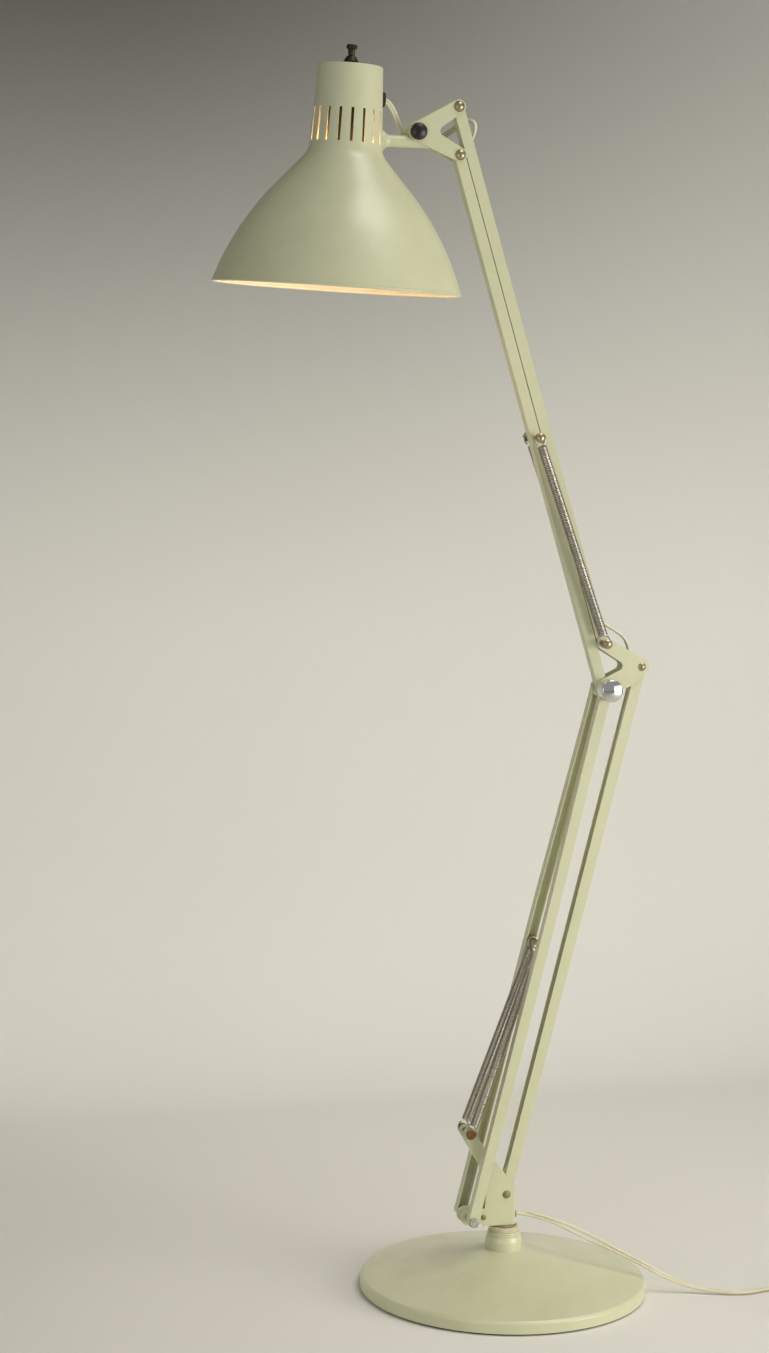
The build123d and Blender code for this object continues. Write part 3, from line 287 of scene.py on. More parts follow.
# Darkened brass: nearly black, with brown lights.
DARK_METAL = Finish("darkened_brass", "#4A4336", "#2B2721", 0.42, metallic=1.0, patch=4.0, patch_share=0.8,
                    grain=0.6, grain_depth=0.02)
# Steel heads under old paint: olive, with little gloss, and darker than the enamel round them as painted
# shade.
OLD_PAINT_AND_SHADE_STEEL = Finish("old_paint_and_painted_shade_on_steel", "#8F8B63", "#6B6747", 0.46, metallic=0.35, patch=4.0,
                         patch_share=0.7, grain=0.8, grain_depth=0.03)
# Browned steel: warm brown, with a metal's gloss.
BROWNED_STEEL = Finish("browned_steel", "#8C6A48", "#4F3A28", 0.3, metallic=1.0, patch=3.0, patch_share=0.8,
                       grain=0.6, grain_depth=0.02)
# Bright zinc plate: light grey, with sharp lights.
ZINC_PLATE = Finish("bright_zinc_plate", "#CDCCC4", "#96948A", 0.2, metallic=1.0, patch=5.0, patch_share=0.6,
                    grain=0.6, grain_depth=0.01)
# Stamped brass: yellow, lightly dulled.
BRASS = Finish("brass", "#C9A45C", "#98783C", 0.3, metallic=1.0, patch=5.0, grain=0.5, grain_depth=0.01)
# Extruded flex: ivory, soft in gloss, yellowed in places.
FLEX_PLASTIC = Finish("ivory_flex_plastic", "#E2DCC2", "#CCC29D", 0.46, patch=26.0, patch_share=0.6,
                      grain=1.0, grain_depth=0.03)
# Moulded plug: as the flex, glossier, darker where it is rubbed.
PLUG_PLASTIC = Finish("ivory_plug_plastic", "#DCD3B6", "#C3B894", 0.4, coat=0.1, patch=14.0, grain=1.2,
                      grain_depth=0.02, wear="#A79A76")
# Moulded bushing: cream and waxy.
BUSHING_PLASTIC = Finish("cream_bushing_plastic", "#D6CEAE", "#B5AA84", 0.5, patch=9.0, patch_share=0.6)
# Moulded bakelite: near black and smooth, with clear lights.
BLACK_PLASTIC = Finish("black_bakelite", "#1B1916", "#2A2622", 0.34, patch=12.0, grain=0.8, grain_depth=0.01)
# Moulded rubber: black and matt.
RUBBER = Finish("black_rubber", "#1C1B19", "#2C2A27", 0.72, patch=5.0, grain=0.5, grain_depth=0.03)
# Extruded tie strip: greyish ivory.
TIE_PLASTIC = Finish("tie_strip_plastic", "#C9C0A2", "#AFA584", 0.48, patch=6.0)
# Pressed felt: dark, without gloss, with a faint fuzz of light.
FELT = Finish("dark_felt", "#2A2822", "#3A372F", 0.95, patch=10.0, grain=0.5, grain_depth=0.25, sheen=0.4)
# Pressed bulb cap: grey metal, half matt.
BULB_CAP = Finish("bulb_cap_metal", "#C2C0B8", "#94917F", 0.3, metallic=1.0, patch=5.0, grain=0.6,
                  grain_depth=0.01)
# Opal glass alight: warm white that glows evenly.
OPAL_GLASS = Finish("opal_bulb_glass", "#F2E6CF", "#EBDABD", 0.25, coat=0.4, patch=18.0, glow="#FFD08A",
                    glow_strength=10.0)


class Workshop:
    """Makes the materials once and hands them out, and finishes pieces for the frame.

    An eased copy has vertices within WELD metres joined, faces within LEVEL taken as one and edges past
    CORNER rounded. Edges past CREASE degrees then still look sharp.
    """

    WELD = 2e-6
    LEVEL = math.radians(0.4)
    CORNER = math.radians(40)
    CREASE = 60

    def __init__(self, frame: dict) -> None:
        """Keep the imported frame.
        """
        self.frame = frame
        self.materials: dict[str, bpy.types.Material] = {}
        bodies = frame["record"]["behaviour"]["bodies"]
        self.body_of = {node: body for body, nodes in bodies.items() for node in nodes}

    def material(self, finish: Finish) -> bpy.types.Material:
        """Give a finish's material.

        Args:
            finish: The finish wanted.

        Returns:
            The one material of that finish.
        """
        if finish.name not in self.materials:
            self.materials[finish.name] = finish.build()
        return self.materials[finish.name]

    def piece(self, name: str, mesh: bpy.types.Mesh, finish: Finish, crease: float) -> bpy.types.Object:
        """Put a mesh in the scene as a smooth piece at the origin.

        Args:
            name: The piece's name.
            mesh: Its mesh, in place in the frame.
            finish: Its finish.
            crease: Angle in degrees above which an edge stays sharp.

        Returns:
            The object.
        """
        mesh.materials.clear()
        mesh.materials.append(self.material(finish))
        mesh.polygons.foreach_set("use_smooth", [True] * len(mesh.polygons))
        mesh.set_sharp_from_angle(angle=math.radians(crease))
        mesh.name = name
        return put(name, mesh)

    def eased(self, node: str, finish: Finish, slot: str, edge: float) -> bpy.types.Object:
        """Copy a CAD node with its edges rounded, and let the copy stand for it.

        Args:
            node: The CAD node.
            finish: The copy's finish.
            slot: The record's material slot; not used.
            edge: Width of the rounding in millimetres.

        Returns:
            The copy, riding on the node's body.
        """
        shell = bmesh.new()
        shell.from_mesh(self.frame["nodes"][node].data)
        bmesh.ops.remove_doubles(shell, verts=shell.verts, dist=self.WELD)
        bmesh.ops.dissolve_limit(shell, angle_limit=self.LEVEL, verts=shell.verts, edges=shell.edges)
        mesh = mesh_of(shell, node)
        mesh.polygons.foreach_set("use_smooth", [True] * len(mesh.polygons))
        blank = put(node + "_blank", mesh)
        rounding = blank.modifiers.new("edges", "BEVEL")
        rounding.width = edge * MM
        rounding.segments = 2
        rounding.limit_method = "ANGLE"
        rounding.angle_limit = self.CORNER
        blank.modifiers.new("flat_faces", "WEIGHTED_NORMAL").weight = 100
        finished = plain_mesh(blank)
        piece = self.piece(node + "_eased", finished, finish, self.CREASE)
        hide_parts(node)
        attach(piece, self.body_of[node])
        LOG.info("%s: eased copy of its solid, %d faces", node, len(finished.polygons))
        return piece

    def paint(self, node: str, finish: Finish) -> None:
        """Give a CAD node that stays in view its finish.

        Args:
            node: The CAD node.
            finish: The finish.
        """
        kept = self.frame["nodes"][node]
        for slot in kept.material_slots:
            slot.material = self.material(finish)
        LOG.info("%s: painted as it is", node)


def plain_mesh(blank: bpy.types.Object) -> bpy.types.Mesh:
    """Evaluate an object's modifiers into a plain mesh and drop the object.

    Args:
        blank: The object with its modifiers.

    Returns:
        The mesh that they make.
    """
    graph = bpy.context.evaluated_depsgraph_get()
    graph.update()
    mesh = bpy.data.meshes.new_from_object(blank.evaluated_get(graph), depsgraph=graph)
    bpy.data.objects.remove(blank)
    return mesh


def smooth_line(route: list[Vector], samples: int = 10) -> list[Vector]:
    """Read the points of a smooth line from a NURBS spline with a route as its control points.

    Args:
        route: The route's points in metres.
        samples: Points read for each control point.

    Returns:
        Points along the line, in order.
    """
    curve = bpy.data.curves.new("route", "CURVE")
    curve.dimensions = "3D"
    curve.resolution_u = samples
    spline = curve.splines.new("NURBS")
    spline.points.add(len(route) - 1)
    for control, point in zip(spline.points, route):
        control.co = (*point, 1.0)
    spline.order_u = 3
    spline.use_endpoint_u = True
    mesh = plain_mesh(put("route", curve))
    points = [vertex.co.copy() for vertex in mesh.vertices]
    bpy.data.meshes.remove(mesh)
    bpy.data.curves.remove(curve)
    return points


def tangents(points: list[Vector]) -> list[Vector]:
    """Give the direction of a line at each of its points.

    Args:
        points: The line.

    Returns:
        Unit vectors.
    """
    before = [points[0]] + points[:-1]
    after = points[1:] + [points[-1]]
    return [(b - a).normalized() for a, b in zip(before, after)]


def sweep_tube(shell: bmesh.types.BMesh, points: list[Vector], radius: float, sides: int = 10) -> None:
    """Add a round closed tube along a line.

    Args:
        shell: The mesh being made.
        points: The tube's middle line, in metres.
        radius: Its radius in metres.
        sides: Sides of its section.
    """
    rings = []
    side = tangents(points)[0].orthogonal().normalized()
    for point, ahead in zip(points, tangents(points)):
        side = (side - ahead * side.dot(ahead)).normalized()
        up = ahead.cross(side)
        turns = [2 * math.pi * i / sides for i in range(sides)]
        rings.append([
            shell.verts.new(point + (side * math.cos(a) + up * math.sin(a)) * radius) for a in turns])
    for low, high in zip(rings, rings[1:]):
        for i in range(sides):
            j = (i + 1) % sides
            shell.faces.new((low[i], low[j], high[j], high[i]))
    shell.faces.new(rings[0][::-1])
    shell.faces.new(rings[-1])


def turned_mesh(name: str, outline: list[tuple[float, float]], steps: int = 144) -> bpy.types.Mesh:
    """Turn a closed outline about the Z axis.

    Args:
        name: The mesh's name.
        outline: Points of (radius, height) in millimetres, none on the axis.
        steps: Facets around.

    Returns:
        The mesh.
    """
    shell = bmesh.new()
    rings = []
    for step in range(steps):
        angle = 2 * math.pi * step / steps
        along = Vector((math.cos(angle), math.sin(angle), 0.0))
        rings.append([shell.verts.new((along * r + Vector((0, 0, h))) * MM) for r, h in outline])
    count = len(outline)
    for near, far in zip(rings, rings[1:] + rings[:1]):
        for i in range(count):
            j = (i + 1) % count
            shell.faces.new((near[i], far[i], far[j], near[j]))
    bmesh.ops.recalc_face_normals(shell, faces=shell.faces)
    return mesh_of(shell, name)


def grown_mesh(name: str, tree: bpy.types.NodeTree, values: dict,
               mesh: bpy.types.Mesh | None = None) -> bpy.types.Mesh:
    """Run a Geometry Nodes tree and keep what it makes as a plain mesh.

    Args:
        name: The mesh's name.
        tree: The tree.
        values: Value of each named input.
        mesh: The mesh that the tree starts from, where it has one.

    Returns:
        The mesh that the tree makes.
    """
    blank = put(name, mesh or bpy.data.meshes.new(name))
    grower = blank.modifiers.new("grow", "NODES")
    grower.node_group = tree
    for item in tree.interface.items_tree:
        if item.in_out == "INPUT" and item.name in values:
            grower[item.identifier] = values[item.name]
    return plain_mesh(blank)


def new_tree(name: str, inputs: dict[str, str]) -> bpy.types.NodeTree:
    """Start a Geometry Nodes tree.

    Args:
        name: The tree's name.
        inputs: Name and socket type of each input after the geometry.

    Returns:
        The tree, with its geometry input and output.
    """
    tree = bpy.data.node_groups.new(name, "GeometryNodeTree")
    tree.interface.new_socket("Geometry", in_out="INPUT", socket_type="NodeSocketGeometry")
    for label, kind in inputs.items():
        tree.interface.new_socket(label, in_out="INPUT", socket_type=kind)
    tree.interface.new_socket("Geometry", in_out="OUTPUT", socket_type="NodeSocketGeometry")
    return tree


def close_tree(tree: bpy.types.NodeTree, shape: bpy.types.NodeSocket, material: bpy.types.NodeSocket) -> None:
    """End a tree with real geometry and a material.

    Args:
        tree: The tree.
        shape: The geometry that it has made.
        material: The socket that gives the material.
    """
    real = add_node(tree, "GeometryNodeRealizeInstances", {"Geometry": shape})
    coated = add_node(tree, "GeometryNodeSetMaterial", {
        "Geometry": real.outputs["Geometry"], "Material": material})
    add_node(tree, "NodeGroupOutput", {"Geometry": coated.outputs["Geometry"]})


def coil_tree() -> bpy.types.NodeTree:
    """Make the tree that winds a spring's body along Z.

    Returns:
        The tree.
    """
    tree = new_tree("wound_coil", {
        "Turns": "NodeSocketFloat", "Steps": "NodeSocketInt", "Radius": "NodeSocketFloat",
        "Wire": "NodeSocketFloat", "Length": "NodeSocketFloat", "Material": "NodeSocketMaterial"})
    given = add_node(tree, "NodeGroupInput").outputs
    helix = add_node(tree, "GeometryNodeCurveSpiral", {
        "Resolution": given["Steps"], "Rotations": given["Turns"], "Start Radius": given["Radius"],
        "End Radius": given["Radius"], "Height": given["Length"]})
    section = add_node(tree, "GeometryNodeCurvePrimitiveCircle", {"Resolution": 6, "Radius": given["Wire"]})
    wire = add_node(tree, "GeometryNodeCurveToMesh", {
        "Curve": helix.outputs["Curve"], "Profile Curve": section.outputs["Curve"], "Fill Caps": True})
    close_tree(tree, wire.outputs["Mesh"], given["Material"])
    return tree


def vent_tree() -> bpy.types.NodeTree:
    """Make the tree that cuts a ring of upright slots through a wall about Z, except on its +X side.

    Returns:
        The tree.
    """
    tree = new_tree("ring_of_vents", {
        "Count": "NodeSocketInt", "Ring Radius": "NodeSocketFloat", "Phase": "NodeSocketVector",
        "Kept Beyond": "NodeSocketFloat", "Slot Size": "NodeSocketVector", "Slot Middle": "NodeSocketVector",
        "Material": "NodeSocketMaterial"})
    given = add_node(tree, "NodeGroupInput").outputs
    ring = add_node(tree, "GeometryNodeMeshCircle", {
        "Vertices": given["Count"], "Radius": given["Ring Radius"]})
    turned = add_node(tree, "GeometryNodeTransform", {
        "Geometry": ring.outputs["Mesh"], "Rotation": given["Phase"]})
    where = add_node(tree, "GeometryNodeInputPosition").outputs["Position"]
    across = add_node(tree, "ShaderNodeSeparateXYZ", {"Vector": where})
    clear = add_node(tree, "FunctionNodeCompare", {0: across.outputs["X"], 1: given["Kept Beyond"]},
                     operation="LESS_THAN")
    outwards = add_node(tree, "FunctionNodeAlignRotationToVector", {"Vector": where}, axis="X")
    bar = add_node(tree, "GeometryNodeMeshCube", {"Size": given["Slot Size"]})
    bars = add_node(tree, "GeometryNodeInstanceOnPoints", {
        "Points": turned.outputs["Geometry"], "Selection": clear.outputs["Result"],
        "Instance": bar.outputs["Mesh"], "Rotation": outwards.outputs["Rotation"]})
    raised = add_node(tree, "GeometryNodeTransform", {
        "Geometry": bars.outputs["Instances"], "Translation": given["Slot Middle"]})
    solid = add_node(tree, "GeometryNodeRealizeInstances", {"Geometry": raised.outputs["Geometry"]})
    cut = add_node(tree, "GeometryNodeMeshBoolean", {
        0: given["Geometry"], 1: solid.outputs["Geometry"]}, operation="DIFFERENCE", solver="EXACT")
    close_tree(tree, cut.outputs["Mesh"], given["Material"])
    return tree


def ridge_tree() -> bpy.types.NodeTree:
    """Make the tree that sets fine ridges around a turned rim about Z.

    Returns:
        The tree.
    """
    tree = new_tree("ring_of_ridges", {
        "Count": "NodeSocketInt", "Ring Radius": "NodeSocketFloat", "Ridge Radius": "NodeSocketFloat",
        "Ridge Height": "NodeSocketFloat", "Middle": "NodeSocketVector", "Material": "NodeSocketMaterial"})
    given = add_node(tree, "NodeGroupInput").outputs
    ring = add_node(tree, "GeometryNodeMeshCircle", {
        "Vertices": given["Count"], "Radius": given["Ring Radius"]})
    ridge = add_node(tree, "GeometryNodeMeshCylinder", {
        "Vertices": 6, "Radius": given["Ridge Radius"], "Depth": given["Ridge Height"]})
    ridges = add_node(tree, "GeometryNodeInstanceOnPoints", {
        "Points": ring.outputs["Mesh"], "Instance": ridge.outputs["Mesh"]})
    raised = add_node(tree, "GeometryNodeTransform", {
        "Geometry": ridges.outputs["Instances"], "Translation": given["Middle"]})
    close_tree(tree, raised.outputs["Geometry"], given["Material"])
    return tree


@dataclass(frozen=True)
class Linkage:
    """Pivots of the two parallel arms, in millimetres in their upright plane, and leans in degrees."""

    front_pivot: tuple[float, float] = (-39.5, 77.0)
    lower_step: tuple[float, float] = (39.0, 21.0)
    lower_length: float = 541.0
    lower_lean: float = 13.6
    upper_step: tuple[float, float] = (-2.2, 45.0)
    upper_length: float = 535.0
    upper_lean: float = -17.35
    clamp_step: tuple[float, float] = (-42.2, 20.1)
    finger: tuple[float, float] = (-41.0, 162.5)
    cross_pin_along: float = 281.0
    upper_screw_along: float = 256.5
    channel_across: float = 1.15

    def along(self, pivot: tuple[float, float], lean: float, distance: float,
              across: float = 0.0) -> tuple[float, float]:
        """Find a point beside a bar.

        Args:
            pivot: The bar's lower pivot.
            lean: Its lean from upright in degrees.
            distance: How far up the bar.
            across: How far to its right.

        Returns:
            The point's X and Z.
        """
        angle = math.radians(lean)
        x = pivot[0] + distance * math.sin(angle) + across * math.cos(angle)
        z = pivot[1] + distance * math.cos(angle) - across * math.sin(angle)
        return (x, z)

    def step(self, pivot: tuple[float, float], by: tuple[float, float]) -> tuple[float, float]:
        """Move from one pivot to the next on a plate."""
        return (pivot[0] + by[0], pivot[1] + by[1])

    @property
    def rear_pivot(self) -> tuple[float, float]:
        """Foot of the lower arm's rear bar."""
        return self.step(self.front_pivot, self.lower_step)

    @property
    def knee_main(self) -> tuple[float, float]:
        """Knee bolt."""
        return self.along(self.front_pivot, self.lower_lean, self.lower_length)

    @property
    def knee_rear(self) -> tuple[float, float]:
        """Knee rivet of the rear bar."""
        return self.step(self.knee_main, self.lower_step)

    @property
    def knee_top(self) -> tuple[float, float]:
        """Knee screw of the upper rear bar and the upper springs."""
        return self.step(self.knee_main, self.upper_step)

    @property
    def clamp(self) -> tuple[float, float]:
        """Clamp screw of the head."""
        return self.step(self.along(self.knee_main, self.upper_lean, self.upper_length), self.clamp_step)

    def lower_channel(self, distance: float) -> Vector:
        """Find a point in the lower rear bar's channel, by millimetres up the bar from its foot."""
        x, z = self.along(self.rear_pivot, self.lower_lean, distance, -self.channel_across)
        return mm(x, 0, z)

    def upper_channel(self, distance: float) -> Vector:
        """Find a point in the upper rear bar's channel, by millimetres up the bar from the knee."""
        x, z = self.along(self.knee_top, self.upper_lean, distance, self.channel_across)
        return mm(x, 0, z)


@dataclass(frozen=True)
class CordRun:
    """One stretch of flex between two bodies: its route and where it goes over from one to the other."""

    name: str
    node: str
    route: list[Vector]
    bodies: tuple[str, str]
    start: Vector
    end: Vector
    lie: Lie = Lie.FLAT
    lay: str = "taut"


@dataclass
class TwinFlex:
    """The lamp's flat twin flex, from the shade down the arms to the coil and plug on the floor.

    Sizes are in millimetres, apart from the lead's length in metres, and angles are in degrees. The top,
    fall and floor of a rib on the plug's sleeve are shares of the rib.
    """

    linkage: Linkage
    width: float = 5.5
    core: float = 2.85
    split: float = 2.5
    split_start: float = 26.0
    split_end: float = 118.0
    coil_place: tuple[float, float] = (336.0, -108.0)
    coil_turn: float = 5.0
    coil_outer: float = 44.0
    coil_pitch: float = 6.2
    coil_turns: int = 3
    coil_low: float = 3.75
    coil_high: float = 9.75
    coil_step: float = 30.0
    lead_length: float = 1.83
    relief_length: float = 21.0
    relief_bore: float = 2.3
    relief_wide: float = 5.2
    relief_slim: float = 3.4
    relief_groove: float = 0.7
    relief_ribs: int = 6
    relief_inset: float = 1.0
    relief_top: float = 0.6
    relief_fall: float = 0.68
    relief_floor: float = 0.92
    cord_widths: float = 6.0
    crease: float = 50.0

    def beside(self, pivot: tuple[float, float], x: float, y: float, z: float) -> Vector:
        """Find a point by its millimetres from a pivot in X and Z and from the arms' plane in Y."""
        return mm(pivot[0] + x, y, pivot[1] + z)

    def shade_point(self, across: float, height: float) -> Vector:
        """Find a point of the leaning shade, by millimetres from its axis towards +X and above its rim."""
        return Shade().place() @ mm(across, 0, height)

    def arm_runs(self) -> list[CordRun]:
        """List the stretches from the shade to the bracket.

        Returns:
            The stretches in order.
        """
        arms = self.linkage
        clamp, knee_top, knee_rear, foot = arms.clamp, arms.knee_top, arms.knee_rear, arms.rear_pivot
        knuckle = self.beside(clamp, 2, 13, -9.5)
        plate = self.beside(clamp, 25, 12.8, -4.5)
        bar = arms.upper_channel(arms.upper_length - 59)
        knee = self.beside(knee_rear, -10.7, 0, -1.8)
        bracket = arms.lower_channel(47)
        grommet = self.shade_point(36.77, 177.8)
        loop_start, loop_end = arms.upper_channel(48), self.beside(knee_rear, -10.7, 0, 15)
        bar_top, bar_end = arms.lower_channel(arms.lower_length - 36), arms.lower_channel(33)
        drop = self.beside(foot, -8.8, 0, -8.5)
        return [
            CordRun("flex_at_neck", "head_cord_neck", [
                self.shade_point(29.57, 177.8), grommet, self.beside(clamp, -22, 3.5, 20),
                self.beside(clamp, -13, 9.4, 3.5), self.beside(clamp, -6, 12.3, -7.5), knuckle],
                ("shade", "knuckle"), grommet, self.beside(clamp, -12, 10, 3), Lie.ON_EDGE, "loose"),
            CordRun("flex_at_knuckle", "head_cord_knuckle", [
                knuckle, self.beside(clamp, 9, 13.6125, -11.25), plate],
                ("knuckle", "head_bracket"), knuckle, plate, Lie.ON_EDGE, "loose"),
            CordRun("flex_loop_at_head", "head_cord_loop", [
                plate, self.beside(clamp, 35, 12.292, -0.281), self.beside(clamp, 46, 11.5, 9.5),
                self.beside(clamp, 54.5, 8, 14), self.beside(clamp, 59.5, 2.6, 11),
                self.beside(clamp, 58.5, 0, 1.5), arms.upper_channel(arms.upper_length - 38), bar],
                ("head_bracket", "upper_bar_rear"), self.beside(clamp, 33, 8, 0),
                self.beside(clamp, 59, 0, -4), Lie.EDGE_TO_FLAT, "loose"),
            CordRun("flex_in_upper_bar", "upper_bar_cord", [
                bar, loop_start, self.beside(knee_top, -2.5, 0, 21), self.beside(knee_top, 12.5, 0, 12.8),
                self.beside(knee_top, 25, 0, 4.8), loop_end, knee],
                ("upper_bar_rear", "knee"), loop_start, loop_end),
            CordRun("flex_in_rear_bar", "rear_bar_cord", [
                knee, self.beside(knee_rear, -10.7, 0, -16), bar_top, bracket],
                ("knee", "rear_bar"), knee, bar_top),
            CordRun("flex_in_bracket", "bracket_cord", [
                bracket, bar_end, self.beside(foot, -3.5, 0, 14.5), self.beside(foot, -9.3, 0, 3), drop,
                self.beside(foot, -3.5, 0, -18), mm(6, 0, 76), mm(11.4, 0, 76)],
                ("rear_bar", "bracket"), bar_end, drop, lay="loose"),
        ]

    def lead_route(self) -> list[Vector]:
        """List the lead's control points from the bracket to the plug.

        Returns:
            The points in metres.
        """
        place = self.lead_place()
        floor = [mm(*point) for point in (
            (11.4, 0, 76), (19, 0, 76), (33, -7, 74), (55, -15, 67), (86, -26, 52), (125, -39.5, 33),
            (162, -52, 12), (195, -63.5, 3.4), (228, -77, 2.9), (262, -66.5, 2.9))]
        tail = [place @ mm(-16, -self.coil_outer, self.coil_high), place @ mm(-40, -self.coil_outer, 7)]
        return floor + [place @ mm(-24, self.coil_outer, self.coil_low)] + self.coil_route() + tail

    def lead_place(self) -> Matrix:
        """Give the coil's own frame in the lamp's."""
        turn = Matrix.Rotation(math.radians(self.coil_turn), 4, "Z")
        return Matrix.Translation(mm(*self.coil_place, 0)) @ turn

    def coil_route(self) -> list[Vector]:
        """Wind the tied coil: inwards on the floor, up, and outwards on top.

        Returns:
            The coil's control points in metres.
        """
        place = self.lead_place()
        radii = [self.coil_outer - self.coil_pitch * i for i in range(self.coil_turns + 1)]
        halves = []
        for outer, inner in zip(radii, radii[1:]):
            halves.append((outer, 0.0, 0, self.coil_low, self.coil_low))
            halves.append(((outer + inner) / 2, (inner - outer) / 2, 1, self.coil_low, self.coil_low))
        halves.append((radii[-1], 0.0, 0, self.coil_low, self.coil_high))
        for inner, outer in zip(radii[:0:-1], radii[-2::-1]):
            halves.append(((outer + inner) / 2, (outer - inner) / 2, 1, self.coil_high, self.coil_high))
            halves.append((outer, 0.0, 0, self.coil_high, self.coil_high))
        count = round(180 / self.coil_step)
        reach = 1 / math.cos(math.radians(self.coil_step / 2))
        points = []
        for radius, middle, side, low, high in halves:
            for i in range(count):
                share = (i + 0.5) / count
                angle = math.radians(90 - 180 * (side + share))
                rise = low + (high - low) * share * share * (3 - 2 * share)
                x = radius * reach * math.cos(angle)
                points.append(place @ mm(x, middle + radius * reach * math.sin(angle), rise))
        return points

    def flex_mesh(self, name: str, points: list[Vector], lie: Lie) -> bpy.types.Mesh:
        """Lay two round cores side by side along a line.

        Args:
            name: The mesh's name.
            points: The flex's middle line.
            lie: How the cores lie. In the lead they also part near the start.

        Returns:
            The mesh.
        """
        rest = (self.width - self.core) / 2
        cores = ([], [])
        run = 0.0
        for i, (point, ahead) in enumerate(zip(points, tangents(points))):
            run += (point - points[i - 1]).length / MM if i else 0.0
            flat = Vector((0, 0, 1)).cross(ahead) if lie is Lie.LEAD else Vector((0, 1, 0))
            flat = (flat - ahead * flat.dot(ahead)).normalized()
            across = flat * math.cos(lie.at(run)) + ahead.cross(flat) * math.sin(lie.at(run))
            share = (run - self.split_start) / (self.split_end - self.split_start)
            parted = math.sin(math.pi * share) ** 2 if lie is Lie.LEAD and 0 < share < 1 else 0.0
            shift = (rest + (self.split - rest) * parted) * MM
            cores[0].append(point + across * shift)
            cores[1].append(point - across * shift)
        shell = bmesh.new()
        for core in cores:
            sweep_tube(shell, core, self.core / 2 * MM)
        bmesh.ops.recalc_face_normals(shell, faces=shell.faces)
        return mesh_of(shell, name)

    def build(self, shop: Workshop) -> None:
        """Make every stretch of the flex.

        Args:
            shop: The workshop.
        """
        for run in self.arm_runs():
            points = smooth_line(run.route)
            mesh = self.flex_mesh(run.name, points, run.lie)
            piece = shop.piece(run.name, mesh, FLEX_PLASTIC, self.crease)
            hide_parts(run.node)
            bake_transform(piece)
        self.build_lead(shop)

    def build_lead(self, shop: Workshop) -> None:
        """Make the free lead with its coil, tie and plug.

        Args:
            shop: The workshop.
        """
        points = smooth_line(self.lead_route())
        mesh = self.flex_mesh("mains_lead", points, Lie.LEAD)
        lead = shop.piece("mains_lead", mesh, FLEX_PLASTIC, self.crease)
        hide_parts("floor_cord", "cord_coil")
        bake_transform(lead)
        tie = shop.eased("coil_tie", TIE_PLASTIC, "tie_plastic", edge=0.2)
        plug = shop.eased("plug_body", PLUG_PLASTIC, "ivory_plug", edge=1.2)
        pins = shop.eased("plug_pins", BRASS, "brass", edge=0.5)
        relief = self.build_relief(shop)
        length = sum((b - a).length for a, b in zip(points, points[1:]))
        LOG.info("mains_lead: %.0f mm of twin flex with its coil", length / MM)

    def build_relief(self, shop: Workshop) -> bpy.types.Object:
        """Make the ribbed sleeve that tapers from the plug along the lead.

        Args:
            shop: The workshop.

        Returns:
            The sleeve, riding with the plug.
        """
        outline = [(self.relief_bore, -self.relief_inset), (self.relief_wide, -self.relief_inset)]
        pitch = self.relief_length / self.relief_ribs
        for rib in range(self.relief_ribs):
            foot = pitch * rib
            radius = self.relief_wide - (self.relief_wide - self.relief_slim) * foot / self.relief_length
            groove = radius - self.relief_groove
            outline += [(radius, foot), (radius, foot + self.relief_top * pitch),
                        (groove, foot + self.relief_fall * pitch), (groove, foot + self.relief_floor * pitch)]
        outline += [(self.relief_slim, self.relief_length), (self.relief_bore, self.relief_length)]
        mesh = turned_mesh("plug_strain_relief", outline, steps=32)
        ahead, plug_end = self.lead_route()[-2:]
        turn = (ahead - plug_end).to_track_quat("Z", "Y").to_matrix().to_4x4()
        mesh.transform(Matrix.Translation(plug_end) @ turn)
        relief = shop.piece("plug_strain_relief", mesh, PLUG_PLASTIC, crease=40)
        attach(relief, shop.body_of["plug_body"])
        LOG.info("plug_strain_relief: sleeve with %d ribs", self.relief_ribs)
        return relief


